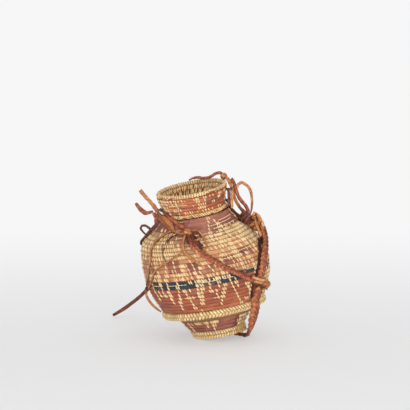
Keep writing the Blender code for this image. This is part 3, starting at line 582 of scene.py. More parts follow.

# %% [markdown]
# ## The long thong
#
# A thick dark thong leaves the back strap, stands away to the left in a stiff bow and touches the
# table with its bare end. It is the only loose cord: it is all in view, about 150 millimetres long
# and 5 thick, dry and stiff enough to hold its own curve. Rolled hide has a seam that winds round
# it, so the section gets one shallow groove that turns slowly.

# %% Roll the long thong
LONG_THONG = 0.0050
LONG_ROUTE = (
    (-179.0, 0.405, 1.046), (-173, 0.408, 1.062), (-166, 0.408, 1.110), (-159, 0.400, 1.210),
    (-152, 0.382, 1.350), (-147, 0.358, 1.490), (-144, 0.326, 1.630), (-143, 0.288, 1.797),
    (-141, 0.240, 1.960), (-138.5, 0.200, 2.110), (-135, 0.166, 2.215), (-131, 0.139, 2.300),
)
long_line = ring(*trace(LONG_ROUTE).T)
long_reach = walked(long_line)
long_length = long_reach[-1]
roll_turns = long_reach / long_length * 2.0 * math.tau
long_ups = twisted(long_line, carried_up(long_line, (0.0, 0.0, 1.0)), roll_turns)
ROLLED_SECTION = tuple(
    (math.cos(a) * (0.80 if i == 3 else 1.0), math.sin(a) * (0.80 if i == 3 else 1.0))
    for i, a in enumerate(np.radians(np.arange(0, 360, 22.5)))
)
narrowing = np.interp(long_reach / long_length, (0.0, 0.25, 0.72, 0.9, 1.0),
    (1.0, 0.93, 0.9, 0.96, 0.72))
long_piece = leather_piece("rolled_long_thong", strand(long_line, long_ups, LONG_THONG * narrowing,
    LONG_THONG * narrowing, ROLLED_SECTION, seed=2, rough=0.03), "dark", "long_thong")
print("long thong", round(float(long_length) * 1000, 1), "mm long")

# %% [markdown]
# ## The coiled rows
#
# Each wall is one long coil of grass, laid row on row. Seen from outside a row is a low round ridge
# with a groove above and below it. The rows are worked out along the wall's own outline, so they
# keep their width where the shoulder turns in. A displacement texture could fake the ridges, but the
# stitches have to bend over them, so the ridges are real and a stitch asks the wall where it is.

# %% A wall and its rows
ROW_GROOVE = 0.0009
WAVER = 0.00012


def wall(line, low, high, rows, warp=None):
    """Measures a wall's outline between two heights and divides it into rows."""
    z = np.linspace(low, high, 500)
    r = np.interp(z / BASKET_HEIGHT, *line) * BELLY_RADIUS
    walk = walked(np.stack([r, z], axis=1))
    dr, dz = np.gradient(r), np.gradient(z)
    run = np.hypot(dr, dz)
    print("rows", rows, "pitch", round(walk[-1] / rows * 1000, 2), "mm")
    return {"z": z, "r": r, "walk": walk, "out_r": dz / run, "out_z": -dr / run, "rows": rows,
        "pitch": walk[-1] / rows, "warp": warp or ((0, rows), (0, rows))}


def dome(part, power=2):
    """How far a rounded ridge stands up over its width: 0 at both edges, 1 in the middle."""
    return np.sqrt(np.clip(1 - (2 * part - 1) ** power, 0, 1))


def uneven(turn, row):
    """A slow hand-made waver of the wall, well under half a millimetre."""
    t = np.radians(turn)
    return WAVER * (np.sin(3 * t + row * 1.7) + np.sin(7 * t - row * 2.9) + np.sin(13 * t + row * 5.1))


def on_wall(this, turn, row, lift=0.0, side=1, groove=ROW_GROOVE):
    """Points on a wall's outside (side 1) or inside (side -1), lifted off its rows."""
    walk = np.interp(row, *this["warp"]) * this["pitch"]
    read = {key: np.interp(walk, this["walk"], this[key]) for key in ("z", "r", "out_r", "out_z")}
    ridge = (dome(row - np.floor(row)) - 1) * groove
    if side > 0:
        if "smooth" in this:
            ridge = ridge * np.interp(row, *this["smooth"])
        off = ridge + lift + uneven(turn, np.floor(row))
    else:
        off = -COIL_THICKNESS - ridge - lift
    return round_points(turn, read["z"] + read["out_z"] * off, read["r"] + read["out_r"] * off)


# %% The three walls
BELLY_ROWS = 24
worked_line = fine_line(((0.0, 0.0), (0.292, 0.275), (0.375, 0.358), (1.0, 1.0)))
WORKED_TO_EVEN = (worked_line[0] * BELLY_ROWS, worked_line[1] * BELLY_ROWS)
EVEN_TO_WORKED = WORKED_TO_EVEN[::-1]
belly = wall(SKIN_LINE, 0.03860, 0.15050, BELLY_ROWS, WORKED_TO_EVEN)
belly["smooth"] = ((0, 20.0, 21.0, 24), (1.0, 1.0, 0.35, 0.35))
collar = wall(fine_line(COLLAR_SHARES), 0.15580, 0.17620, 5)
foot = wall(fine_line(FOOT_SHARES), 0.01000, 0.02410, 3)

# %% [markdown]
# ## Where each dye lies
#
# The basket maker changed the leaf's colour row by row: brick red from the belly ring upwards, two
# blue-black rows, orange and straw mixed, plum patches on orange, undyed straw round the widest
# part of the shoulder and one broad smooth mauve band under the neck. The colours are given to the
# mesh's points from short lists of patches, a soft-edged stretch of a few rows each. Painting a
# texture by hand would do as well, but lists are easy to change.

# %% Dyes
BRICK = tint(168, 90, 64)
ORANGE = tint(189, 106, 68)
APRICOT = tint(206, 146, 104)
MAUVE = tint(160, 100, 86)
PLUM = tint(146, 80, 68)
BLUE_BLACK = tint(46, 56, 68)
UNDYED = tint(201, 153, 105)
# The next brown is no dye of the leaf: it is laid as painted shade and painted shadow.
PAINTED_SHADE = tint(84, 44, 28)
PALE_STRAW = tint(250, 222, 172)
GOLD_STRAW = tint(238, 196, 130)
WARM_STRAW = tint(255, 216, 158)
SOFT_END = 0.7
BANDS, STRIPS, STRIP_DEGREES = 64, 40, 17


def patch(turn, row, colours, colour, turns, rows, strength):
    """Lays one colour over a stretch of turns and rows with soft ends."""
    inside = np.clip((turn - turns[0]) / SOFT_END, 0, 1) * np.clip((turns[1] - turn) / SOFT_END, 0, 1)
    inside = inside * ((row >= rows[0]) & (row < rows[1])) * strength
    return colours + inside[..., None] * (colour - colours)


def dyed(turn, row, patches, ground, seed):
    """The dye at each point: the patches in turn, each strip of leaf a little lighter or darker."""
    colours = np.broadcast_to(ground, turn.shape + (3,)).copy()
    for one in patches:
        colours = patch(turn, row, colours, *one)
    draw = np.random.default_rng(seed)
    band = np.floor(row).astype(int) % BANDS
    starts = draw.uniform(0, 30, BANDS)[band]
    strip = np.floor((turn + 200 + starts) / STRIP_DEGREES).astype(int)
    lighter = draw.uniform(0.80, 1.16, (BANDS, STRIPS))[band, strip % STRIPS]
    return np.clip(colours * lighter[..., None], 0, 1)


print("brick reflects", np.round(BRICK, 2), "and straw", np.round(PALE_STRAW, 2))

# %% Patches of the belly, the collar and the foot
# Colour, first and last turn, first and last row, strength
ALL_ROUND = (-181, 181)
BELLY_PATCHES = (
    (BRICK, ALL_ROUND, (0, 7), 1.0), (ORANGE, ALL_ROUND, (0, 1), 0.8), (ORANGE, (10, 62), (1, 3), 0.55),
    (ORANGE, (-30, 0), (3, 4), 0.4), (MAUVE, (-26, -6), (4, 7), 0.35), (MAUVE, (-70, -30), (1, 3), 0.25),
    (BLUE_BLACK, (-62, 36), (7, 9), 1.0), (BLUE_BLACK, (37, 56), (8, 10), 1.0),
    (BLUE_BLACK, (70, 176), (7, 9), 1.0), (BLUE_BLACK, (-176, -84), (7, 9), 1.0),
    (APRICOT, ALL_ROUND, (9, 14), 1.0), (ORANGE, (-62, -34), (9, 11), 0.6),
    (ORANGE, (-30, 14), (9, 10), 0.7), (MAUVE, (-14, 2), (9, 11), 0.4),
    (PLUM, (-35, -21), (11, 13.9), 0.85), (PLUM, (-16, -3), (10, 13), 0.9), (PLUM, (0, 9), (10, 12), 0.7),
    (PLUM, (19, 34), (11, 13), 0.9), (PLUM, (38, 57), (12, 14), 0.9), (PLUM, (-62, -52), (11, 13), 0.6),
    (ORANGE, (36, 62), (10, 12), 0.6), (ORANGE, (10, 19), (10, 12), 0.4),
    (PLUM, (78, 96), (11, 13), 0.9), (PLUM, (112, 132), (10, 13), 0.85), (PLUM, (146, 160), (11, 14), 0.9),
    (PLUM, (-176, -158), (11, 13), 0.9), (PLUM, (-142, -120), (10, 13), 0.85),
    (PLUM, (-104, -88), (11, 14), 0.9), (UNDYED, ALL_ROUND, (14, 20), 1.0),
    (APRICOT, (-70, -38), (15, 18), 0.7), (APRICOT, (8, 60), (14, 17), 0.6),
    (MAUVE, (-38, -14), (17, 20), 0.55), (MAUVE, (14, 44), (18, 20), 0.8), (MAUVE, (-12, 12), (16, 18), 0.5),
    (MAUVE, (-20, 20), (19, 20), 0.7), (MAUVE, ALL_ROUND, (20, 24), 1.0),
    # The dark brown on row 0, right above the belly ring, is a painted shadow.
    (UNDYED, (-80, -40), (20, 21), 0.75), (PAINTED_SHADE, ALL_ROUND, (0, 0.1), 0.8),
    (PLUM, (-38, 8), (20, 22), 0.35), (PLUM, (28, 70), (20, 22), 0.3),
)
COLLAR_PATCHES = (
    (MAUVE, (-80, -20), (0, 2), 0.6), (MAUVE, (20, 66), (2, 4), 0.75), (MAUVE, (-20, 4), (1, 2), 0.5),
    (UNDYED, (-60, -14), (3, 4), 0.7), (UNDYED, (-64, -20), (1, 2), 0.5), (PLUM, (90, 150), (2, 4), 0.7),
    (PLUM, (-150, -100), (1, 3), 0.7), (PLUM, (-40, 30), (2, 2.2), 0.9),
)
FOOT_PATCHES = (
    (PLUM, (-60, 40), (0, 2), 0.3), (ORANGE, (8, 40), (2, 3), 0.3), (BRICK, (-50, -14), (1, 2), 0.4),
    # The dark brown at turns 34 to 52 is painted shade beside the carrying strap.
    (UNDYED, (52, 70), (0, 3), 0.6), (PAINTED_SHADE, (34, 52), (0, 3), 0.45),
    (ORANGE, (96, 150), (1, 2), 0.5), (PLUM, (-170, -100), (0, 2), 0.5),
)
print("patches", len(BELLY_PATCHES), len(COLLAR_PATCHES), len(FOOT_PATCHES))

# %% Build the walls
ROUND_STEPS = 300
ACROSS_ROW = (0.0, 0.05, 0.16, 0.34, 0.5, 0.66, 0.84, 0.95)
GROOVE_SHADE, GROOVE_REACH = 0.55, 0.075
INSIDE_DYE = tint(150, 112, 74)


def wall_parcel(this, patches, ground, seed, inside_dye):
    """The whole wall as one closed body: rows outside, rows inside, cut level at both ends."""
    turns = np.linspace(-180, 180, ROUND_STEPS, endpoint=False)
    rows = np.concatenate([k + np.array(ACROSS_ROW) for k in range(this["rows"])] + [[this["rows"]]])
    turn, row = np.meshgrid(turns, rows, indexing="ij")
    inner_row = row[:, ::-1]
    top = this["rows"] - 1e-6
    outside = on_wall(this, turn, np.minimum(row, top))
    inside = on_wall(this, turn, np.minimum(inner_row, top), side=-1)
    # Painted shade: the leaf is darkened along the grooves between rows, less on the smooth shoulder.
    from_groove = np.minimum(row % 1, 1 - row % 1)
    painted_groove_shade = GROOVE_SHADE * np.exp(-(from_groove / GROOVE_REACH) ** 2)
    if "smooth" in this:
        painted_groove_shade = painted_groove_shade * np.interp(row, *this["smooth"])
    colours = np.concatenate([
        shaded(dyed(turn, row, patches, ground, seed), 1 - painted_groove_shade),
        np.broadcast_to(inside_dye, inside.shape),
    ], axis=1)
    both_turn = np.radians(np.concatenate([turn, turn], axis=1))
    both_row = np.concatenate([row, inner_row], axis=1)
    radius = this["r"].mean()
    lay = np.stack([radius * np.sin(both_turn), radius * np.cos(both_turn), both_row * this["pitch"]],
        axis=-1)
    faces = tube_faces(1, ROUND_STEPS, both_row.shape[1], closed=True)
    return parcel(np.concatenate([outside, inside], axis=1), faces, colours, lay)


for name, this, patches, ground, seed, inside_dye, slot, node in (
    ("belly_rows", belly, BELLY_PATCHES, BRICK, 11, INSIDE_DYE, "belly_weave", "belly_wall"),
    ("collar_rows", collar, COLLAR_PATCHES, ORANGE, 12, tint(150, 92, 50), "collar_weave", "collar_wall"),
    ("foot_rows", foot, FOOT_PATCHES, MAUVE, 13, INSIDE_DYE, "foot_weave", "foot_wall"),
):
    make_piece(name, wall_parcel(this, patches, ground, seed, inside_dye), LEAF, slot, node)

# %% [markdown]
# ## The basket's floor
#
# Coiling starts in the middle of the floor, where the bundle winds round itself. It is a shallow
# dish of concentric rows inside the belly ring. A disc is turned from an outline of small ridges on
# its upper and lower faces, with the same row width as the wall.

# %% Coil the floor
JOINT_GAP = 0.0003
RING_HEIGHT, RING_RADIUS, RING_HALF = 0.188 * BASKET_HEIGHT, 0.780 * BELLY_RADIUS, 0.0042
FLOOR_TOP = RING_HEIGHT + COIL_THICKNESS / 2
FLOOR_DROP = 0.040 * BASKET_HEIGHT
FLOOR_EDGE = RING_RADIUS - RING_HALF - JOINT_GAP
FLOOR_MIDDLE = 0.60 * BELLY_RADIUS
MIDDLE_HOLE = 0.0004
FLOOR_ROW = 0.0052
LAY_RADIUS = 0.03

floor_radii = np.linspace(MIDDLE_HOLE, FLOOR_EDGE, 90)
falling = np.clip((FLOOR_EDGE - floor_radii) / (FLOOR_EDGE - FLOOR_MIDDLE), 0, 1)
dish = FLOOR_TOP - FLOOR_DROP * falling
floor_ridge = ROW_GROOVE * (1 - dome((floor_radii / FLOOR_ROW) % 1))
floor_outline = np.concatenate([
    np.stack([floor_radii, dish - floor_ridge], axis=1),
    np.stack([floor_radii, dish - COIL_THICKNESS + floor_ridge], axis=1)[::-1],
])
floor_turns = np.linspace(-180, 180, 180, endpoint=False)
floor_turn, floor_index = np.meshgrid(floor_turns, np.arange(len(floor_outline)), indexing="ij")
floor_radius, floor_height = floor_outline[floor_index, 0], floor_outline[floor_index, 1]
floor_angle = np.radians(floor_turn)
floor_lay = np.stack([LAY_RADIUS * np.sin(floor_angle), LAY_RADIUS * np.cos(floor_angle), floor_radius],
    axis=-1)
make_piece("floor_rows", parcel(round_points(floor_turn, floor_height, floor_radius),
    tube_faces(1, len(floor_turns), len(floor_outline), closed=True), tint(158, 112, 74), floor_lay),
    LEAF, "floor_weave", "belly_floor")

# %% [markdown]
# ## Wrapped coils
#
# The rim, the neck seam, the belly ring and the two coils of the foot's base are bound closely all
# the way round, so no bundle shows: each wrap of straw lies beside the next like the turns of a
# rope. One round coil is drawn round the basket, and its skin is raised into slanted wraps. On the
# belly ring and the foot's base two courses of stitches meet, which looks like a twisted rope.

# %% Wrap a round coil
ON_TABLE = 0.0002
SPARE_WRAPS = 40


def wrapped_coil(seed, radius, height, thickness, wraps, slant, depth, straw, courses=1, bare=0.0):
    """A ring-shaped coil with wraps of straw, each in its own shade; bare is the share without."""
    draw = np.random.default_rng(seed)
    sides, steps, kinds = 28, wraps * 6, wraps + SPARE_WRAPS
    turn = np.linspace(-180, 180, steps, endpoint=False)[:, None]
    angle = np.radians(np.linspace(0, 360, sides, endpoint=False))
    if courses == 1:
        lean_of_wrap = slant * angle / math.tau * 2
        meeting = 0.0
    else:
        course = np.floor(angle / math.pi)
        within = (angle / math.pi) % 1
        lean_of_wrap = slant * np.where(course > 0, 1 - within, within) * 1.6 + course * 0.5
        meeting = 0.5 * (1 - dome(within, 6))
    place = (turn + 180) / 360 * wraps + lean_of_wrap + 0.12 * np.sin(np.radians(turn) * 5 + seed)
    index = np.floor(place).astype(int)
    part = place - index
    bulge = dome(part)
    proud = draw.uniform(0.75, 1.1, kinds)[index % kinds]
    half = thickness / 2 * (1 + depth * (bulge * proud - 0.9) - 0.22 * meeting)
    points = round_points(np.broadcast_to(turn, half.shape), height + np.sin(angle) * half,
        radius + np.cos(angle) * half)
    points[..., 2] = np.maximum(points[..., 2], ON_TABLE)
    shades = draw.uniform(0.72, 1.12, kinds)[index % kinds]
    lower_front = (np.sin(angle) < 0.25) & (np.cos(angle) > 0.1)
    worn_off = (draw.uniform(0, 1, kinds) < bare)[index % kinds] & lower_front
    # Painted shade: the straw is darkened in the gaps between wraps and where two courses meet.
    painted_gap_shade = np.clip(bulge * 1.6 - 0.50, 0.07, 1.0) * (1 - 0.8 * meeting)
    dye = np.clip(shaded(np.where(worn_off[..., None], ORANGE, straw), shades * painted_gap_shade), 0, 1)
    lay = np.stack([
        np.broadcast_to(angle, half.shape) * thickness / 2 + index * 0.013, part * 0.0022,
        index * 0.0031,
    ], axis=-1)
    return parcel(points, tube_faces(1, steps, sides, closed=True), dye, lay)


print("spare shades for the wraps", SPARE_WRAPS)

# %% The five wrapped coils
BASE_COIL = 0.0047
LOWER_BASE_HEIGHT = BASE_COIL / 2
# Name, node, slot, radius, height, thickness, wraps, slant, depth, straw, courses, share left bare
for number, (name, node, slot, *shape) in enumerate((
    ("wrapped_rim", "rim_coil", "rim_straw", 0.537 * BELLY_RADIUS, 0.9875 * BASKET_HEIGHT, 0.0050,
     86, 0.7, 0.44, tint(255, 222, 170), 1, 0.42),
    ("wrapped_seam", "neck_seam_coil", "coil_straw", 0.486 * BELLY_RADIUS, 0.845 * BASKET_HEIGHT, 0.0051,
     88, 1.5, 0.46, tint(255, 220, 158), 1, 0.42),
    ("wrapped_belly_ring", "belly_ring", "coil_straw", RING_RADIUS, RING_HEIGHT, 0.0095,
     98, 0.9, 0.40, tint(255, 226, 168), 2),
    ("wrapped_base_upper", "base_coil_upper", "coil_straw", 0.414 * BELLY_RADIUS,
     LOWER_BASE_HEIGHT + BASE_COIL + JOINT_GAP, BASE_COIL, 62, 1.1, 0.32, tint(255, 226, 172)),
    ("wrapped_base_lower", "base_coil_lower", "coil_straw", 0.391 * BELLY_RADIUS,
     LOWER_BASE_HEIGHT, BASE_COIL, 58, -1.1, 0.32, tint(255, 226, 172)),
)):
    make_piece(name, wrapped_coil(21 + number, *shape), STRAW, slot, node)

# %% [markdown]
# ## The straw stitches
#
# A stitch comes out of one groove, lies over a row of leaf and goes into the next groove. Most of
# them are set in chains that climb the basket a row at a time, one stitch in each row, leaning left
# and right by turns. Round the shoulder they stand close together and hide the leaf. A stitch is a
# small body of straw: a flat underside in the row, a crowned top and two buried ends. All of one
# wall's stitches are worked out in one go as arrays.

# %% The section of a stitch
STITCH_SECTION = np.array((
    (-1.0, -0.6), (-0.88, 0.45), (-0.35, 1.0), (0.35, 1.0), (0.88, 0.45), (1.0, -0.6),
))
STITCH_STATIONS = np.array((0.0, 0.20, 0.38, 0.62, 0.80, 1.0))
STITCH_SINK = np.array((-0.9, 0.55, 1.0, 1.0, 0.55, -0.9))
STITCH_SPREAD = np.array((0.22, 0.66, 1.0, 1.0, 0.66, 0.22))
MM = 0.001


def metres_a_degree(this, row):
    """How far one degree of turn goes round a wall at a row."""
    return np.interp(row * this["pitch"], this["walk"], this["r"]) * math.pi / 180


print("a degree at the belly's row 12 is", round(metres_a_degree(belly, 12) * 1000, 2), "mm")

# %% Lay stitches on a wall
def stitches(this, laid, seed, side=1, straw=PALE_STRAW, width=0.00112, height=0.00085):
    """Stitches from rows of (first turn, first row, last turn, last row, size, shade)."""
    draw = np.random.default_rng(seed)
    turn0, row0, turn1, row1, size, shade = np.asarray(laid, float).T[..., None, None]
    count = len(size)
    a_degree = metres_a_degree(this, np.interp((row0 + row1) / 2, *this["warp"]))
    along_turn, along_row = (turn1 - turn0) * a_degree, (row1 - row0) * this["pitch"]
    run = np.hypot(along_turn, along_row)
    s = STITCH_STATIONS[:, None]
    section_x = STITCH_SECTION[:, 0] * STITCH_SPREAD[:, None] * size * width
    turn = turn0 * (1 - s) + turn1 * s + section_x * (along_row / run / a_degree)
    row = row0 * (1 - s) + row1 * s - section_x * (along_turn / run / this["pitch"])
    inside_row = np.clip(row, max(row0.min(), 0.0), min(row1.max(), this["rows"]) - 1e-6)
    lift = (STITCH_SECTION[:, 1] * np.abs(STITCH_SINK)[:, None]
        + (STITCH_SINK < 0)[:, None] * -0.9) * size * height
    points = on_wall(this, turn, inside_row, lift, side, groove=ROW_GROOVE * 0.75)
    shade = shade[:, 0] * draw.uniform(0.86, 1.06, (count, 1))
    yellow = draw.uniform(0, 1, (count, 1))
    dye = straw[None] * (1 - yellow * 0.5) + GOLD_STRAW[None] * yellow * 0.5
    dye = np.clip(dye * shade, 0, 1)
    # Painted shade: the buried ends and the side edges of every stitch are darkened.
    ends = np.where(STITCH_SINK < 0, 0.30, 1.0)[:, None]
    edges = np.where(np.abs(STITCH_SECTION[:, 0]) > 0.95, 0.34, 1.0)
    colours = shaded(np.broadcast_to(dye[:, None, None, :], row.shape + (3,)), ends * edges)
    lay = np.stack([
        s * run + draw.uniform(0, 5, (count, 1, 1)) + np.zeros(row.shape),
        section_x + np.zeros(row.shape), draw.uniform(0, 5, (count, 1, 1)) + np.zeros(row.shape),
    ], axis=-1)
    return parcel(points, tube_faces(count, len(STITCH_STATIONS), len(STITCH_SECTION)), colours, lay)


one_stitch = stitches(belly, [(0, 3, 1, 4, 1.0, 1.0)], 0)
print("one stitch has", len(one_stitch[0]), "points and", len(one_stitch[1]), "faces")

# %% Chains of stitches
ABREAST = (0.00125, 0.00135)


def chain(this, stops, seed, lean=-1.15, size=1.0, shade=1.0, double=0.38):
    """A chain through (turn, row) stops: a leaning stitch in each row, here and there two abreast."""
    draw = np.random.default_rng(seed)
    stops = sorted(stops, key=lambda stop: stop[1])
    turns, rows = [stop[0] for stop in stops], [stop[1] for stop in stops]
    laid = []
    first_row, last_row = int(round(rows[0])), int(round(rows[-1]))
    for row in range(first_row, max(last_row, first_row + 1)):
        a_degree = metres_a_degree(this, row + 0.5)
        here = np.interp(row + 0.5, rows, turns) + draw.uniform(-0.35, 0.35) * MM / a_degree
        side = (lean + draw.uniform(-0.3, 0.3)) * MM / a_degree
        places = [here]
        if draw.uniform() < double:
            places = [here - ABREAST[0] / a_degree, here + ABREAST[1] / a_degree]
        for place in places:
            laid.append((place - side, row - 0.06, place + side, row + 1.06,
                size * draw.uniform(0.80, 1.12), shade * draw.uniform(0.88, 1.06)))
    return laid


def worked(stops):
    """Stops measured as if all rows were even, put on the rows as they were worked."""
    return [(turn, float(np.interp(row, *EVEN_TO_WORKED))) for turn, row in stops]


print("even row 7 was worked as row", round(worked(((0, 7),))[0][1], 2))

# %% The chains on the front
FRONT_CHAINS = (
    ((22.6, 24), (19, 23.2), (18, 21.2), (18.8, 19.1), (18.7, 18.3)),
    ((24.9, 23.3), (32.7, 21.4), (39.2, 19.7), (43.3, 18)),
    ((32.1, 20.1), (27.9, 16.8), (22.3, 14.1), (16.3, 11.6), (13.1, 9.7)),
    ((35.7, 17.2), (33.1, 13.5), (35.5, 10.1)), ((60.1, 19.8), (55.7, 17.1), (52.4, 15.2)),
    ((46, 12.6), (44.1, 10.9)), ((-35, 24), (-30.4, 22.9)),
    ((-35.5, 13.1), (-37.8, 10.8), (-39.6, 8.3), (-39.8, 4.7), (-40.3, 2.9)),
    ((-18.6, 12.8), (-19.2, 10), (-15.7, 7.8)), ((-15.9, 12.7), (-22.7, 10.5), (-28.1, 9.6)),
    ((-27.9, 9.2), (-29.6, 5.7), (-33.4, 1.4)), ((-54.5, 6.9), (-53.2, 4.3)),
    ((-24.4, 7), (-20.9, 4.3), (-18.6, 1.5), (-10.5, 0.3)),
    ((-13.3, 9.2), (-10.5, 7.7), (-10.1, 5.1), (-8.9, 1.9)),
    ((-1.7, 12.2), (-5.3, 9.9), (-6.1, 6.4), (-7.7, 3.1)), ((-7.8, 9.3), (-9.8, 6.9), (-10.5, 4)),
    ((2.5, 12.4), (5.5, 10.8), (10, 8.8), (9.6, 6), (5.5, 4.8), (8.1, 3.1)),
    ((15.9, 6.4), (11.8, 3.3), (9.6, 1.3)),
    ((18.8, 8.5), (23.4, 4.9), (29, 1.9), (33.3, 0.2)), ((25.5, 7.4), (28, 4.9)),
    ((36, 5.9), (39.7, 4.2), (43.8, 2.2)), ((-5, 17), (-10.2, 15.7), (-20, 14.3)),
    ((-47, 13.5), (-48, 10.5), (-49, 8.0), (-47, 5.0)), ((3, 9.5), (1, 7.0), (1.5, 5.0)),
    ((-62, 13), (-63, 9), (-60, 4)), ((49, 10.2), (50, 8.2), (47, 6.0)), ((14, 10), (16, 7.2)),
)
belly_laid = []
for number, stops in enumerate(FRONT_CHAINS):
    belly_laid += chain(belly, worked(stops), 100 + number)
print("front stitches", len(belly_laid))

# %% [markdown]
# Round the sides and the back the chains can't be counted, so they follow the same habits: a chain
# about every eleven degrees, wandering sideways as it climbs, with a gap here and there.

# %% Chains round the sides and the back
around = np.random.default_rng(31)
TOP_ROW = 14.0
for turn in np.arange(68, 292, 11.5):
    at, row, stops = turn + around.uniform(-2.5, 2.5), float(around.integers(0, 3)), []
    while row < TOP_ROW:
        stops.append((at, row))
        at += around.uniform(-4.5, 4.5)
        row += around.uniform(2.0, 3.5)
    belly_laid += chain(belly, stops + [(at, TOP_ROW)], int(turn * 10), shade=0.97)
for turn in (78, 104, 131, 168, 196, 232, 262, 284):
    start = turn + around.uniform(-6, 6)
    belly_laid += chain(belly, ((start, 24), (start - 3, 22), (start + 1, 20)), int(turn * 11))
print("with the sides and the back", len(belly_laid))

# %% [markdown]
# On the shoulder the stitches stand so close that hardly any leaf is left in view. There they are
# made as fields: whole rows side by side, or many slanting chains next to each other, with a share
# left out by chance. One list gives the fields, so each can be thinned out or moved on its own.

# %% Close stitches round the shoulder
STITCH_PITCH = 0.00240


def close_row(this, row, first, last, pitch, lean, seed, shade=1.0, size=1.0, skip=0.0, reach=1.0):
    """A whole row of stitches side by side from one turn to another."""
    draw = np.random.default_rng(seed)
    a_degree = metres_a_degree(this, row + 0.5)
    laid = []
    for place in np.arange(first, last, pitch / a_degree):
        here = place + draw.uniform(-0.33, 0.33) * pitch / a_degree
        side = (draw.uniform(-0.4, 0.4) - lean) * MM / a_degree
        low = row - draw.uniform(0.0, 0.16)
        if draw.uniform() >= skip:
            laid.append((here - side, low, here + side, low + reach + draw.uniform(0.0, 0.2),
                size * draw.uniform(0.62, 1.02), shade * draw.uniform(0.74, 1.08)))
    return laid


def slanted_chains(this, first, last, low, high, spacing, drift, seed, skip, size=0.9):
    """Chains side by side that climb to the left, a bead in each row; drift is in millimetres a row."""
    draw = np.random.default_rng(seed)
    a_degree = metres_a_degree(this, (low + high) / 2)
    laid = []
    for place in np.arange(first, last, spacing / a_degree):
        at = place + draw.uniform(-0.3, 0.3) * spacing / a_degree
        own_drift = drift * draw.uniform(0.3, 1.3)
        for row in range(high - 1, low - 1, -1):
            at += (own_drift + draw.uniform(-0.4, 0.4)) * MM / a_degree
            side = draw.uniform(0.4, 0.8) * MM / a_degree
            if draw.uniform() >= skip:
                laid.append((at + side, row - draw.uniform(0.0, 0.12), at - side,
                    row + 1 + draw.uniform(0.0, 0.14), size * draw.uniform(0.72, 1.05),
                    draw.uniform(0.80, 1.10)))
    return laid


print("close stitches on ten degrees", len(close_row(belly, 15, 0, 10, STITCH_PITCH, 1.0, 0)))

# %% The fields of the belly
# First and last turn, first and last row, spacing, drift, share left out
for number, (first, last, low, high, spacing, drift, skip) in enumerate((
    (-180, -62, 14, 20, 0.0028, 1.0, 0.08), (62, 180, 14, 20, 0.0028, 1.0, 0.08),
    (-62, -36, 14, 20, 0.0029, 0.7, 0.18), (-36, -17, 14, 18, 0.0027, 0.9, 0.02),
    (-58, -26, 20, 21, 0.0030, 0.8, 0.30), (-35, -24, 18, 20, 0.0027, 0.8, 0.15),
    (-12, 8, 13, 15, 0.0034, 0.9, 0.30), (4, 26, 15, 19, 0.0031, 1.3, 0.14),
    (24, 62, 14, 19, 0.0029, 1.5, 0.10), (30, 60, 19, 21, 0.0038, 1.6, 0.30),
    (22, 62, 11, 14, 0.0050, 1.3, 0.22), (-60, -18, 9, 14, 0.0062, 0.3, 0.35),
    (-16, 20, 9, 13, 0.0070, 0.8, 0.40), (14, 46, 9, 11, 0.0042, 1.2, 0.35),
    (-58, -20, 4, 7, 0.012, 0.5, 0.3),
)):
    belly_laid += slanted_chains(belly, first, last, low, high, spacing, drift, 40 + number, skip)
# First and last turn, row, how open: the front's close rows are broken by bare leaf
for first, last, row, skip in (
    (-60, -48, 21, 0.5), (35, 46, 1, 0.4), (40, 45, 2, 0.2), (41, 45, 3, 0.2),
    (40, 45, 4, 0.25), (37, 46, 5, 0.35), (52, 62, 9, 0.2), (54, 62, 7, 0.3), (-62, -50, 9, 0.4),
    (-62, -44, 10, 0.5), (-20, -8, 10, 0.3), (-12, 6, 9, 0.45), (-8, 0, 8, 0.2), (4, 13, 8, 0.3),
    (-24, -16, 9, 0.3), (58, 92, 0, 0.15), (58, 92, 1, 0.1), (58, 92, 2, 0.1), (60, 92, 3, 0.1),
    (60, 92, 4, 0.15), (63, 92, 5, 0.15), (64, 92, 6, 0.2), (72, 94, 9, 0.2), (72, 94, 10, 0.2),
    (72, 94, 11, 0.3), (76, 94, 12, 0.3),
):
    lean = 1.35 if row % 2 else 0.9
    belly_laid += close_row(belly, row, first, last, STITCH_PITCH, lean, 200 + row * 7 + first, skip=skip)
make_piece("belly_stitches", stitches(belly, belly_laid, 5), STRAW, "coil_straw")
print("belly stitches", len(belly_laid))

# %% [markdown]
# Thin single straws also run along the rows here and there, over the leaf: on the smooth mauve
# shoulder they climb slightly to the right, and one divides the two blue-black rows. They are the
# same stitch drawn long and thin. One thin dark line on the left shoulder, drawn the same way, is a
# painted shadow: the shadow of a thong loop that stands off the belly.

# %% Straws that run along the rows
def running(this, pieces, seed, size=0.62, straw=PALE_STRAW):
    """Long thin straws; each is cut into short lengths so that it follows the round of the wall."""
    laid = []
    for turn0, row0, turn1, row1 in pieces:
        cuts = max(1, round(abs(turn1 - turn0) / 3.0))
        for k in range(cuts):
            a, b = k / cuts, (k + 1.25) / cuts
            laid.append((turn0 + (turn1 - turn0) * a, row0 + (row1 - row0) * a,
                turn0 + (turn1 - turn0) * b, row0 + (row1 - row0) * b, size, 1.0))
    return stitches(this, laid, seed, straw=straw, width=0.0010, height=0.0011)


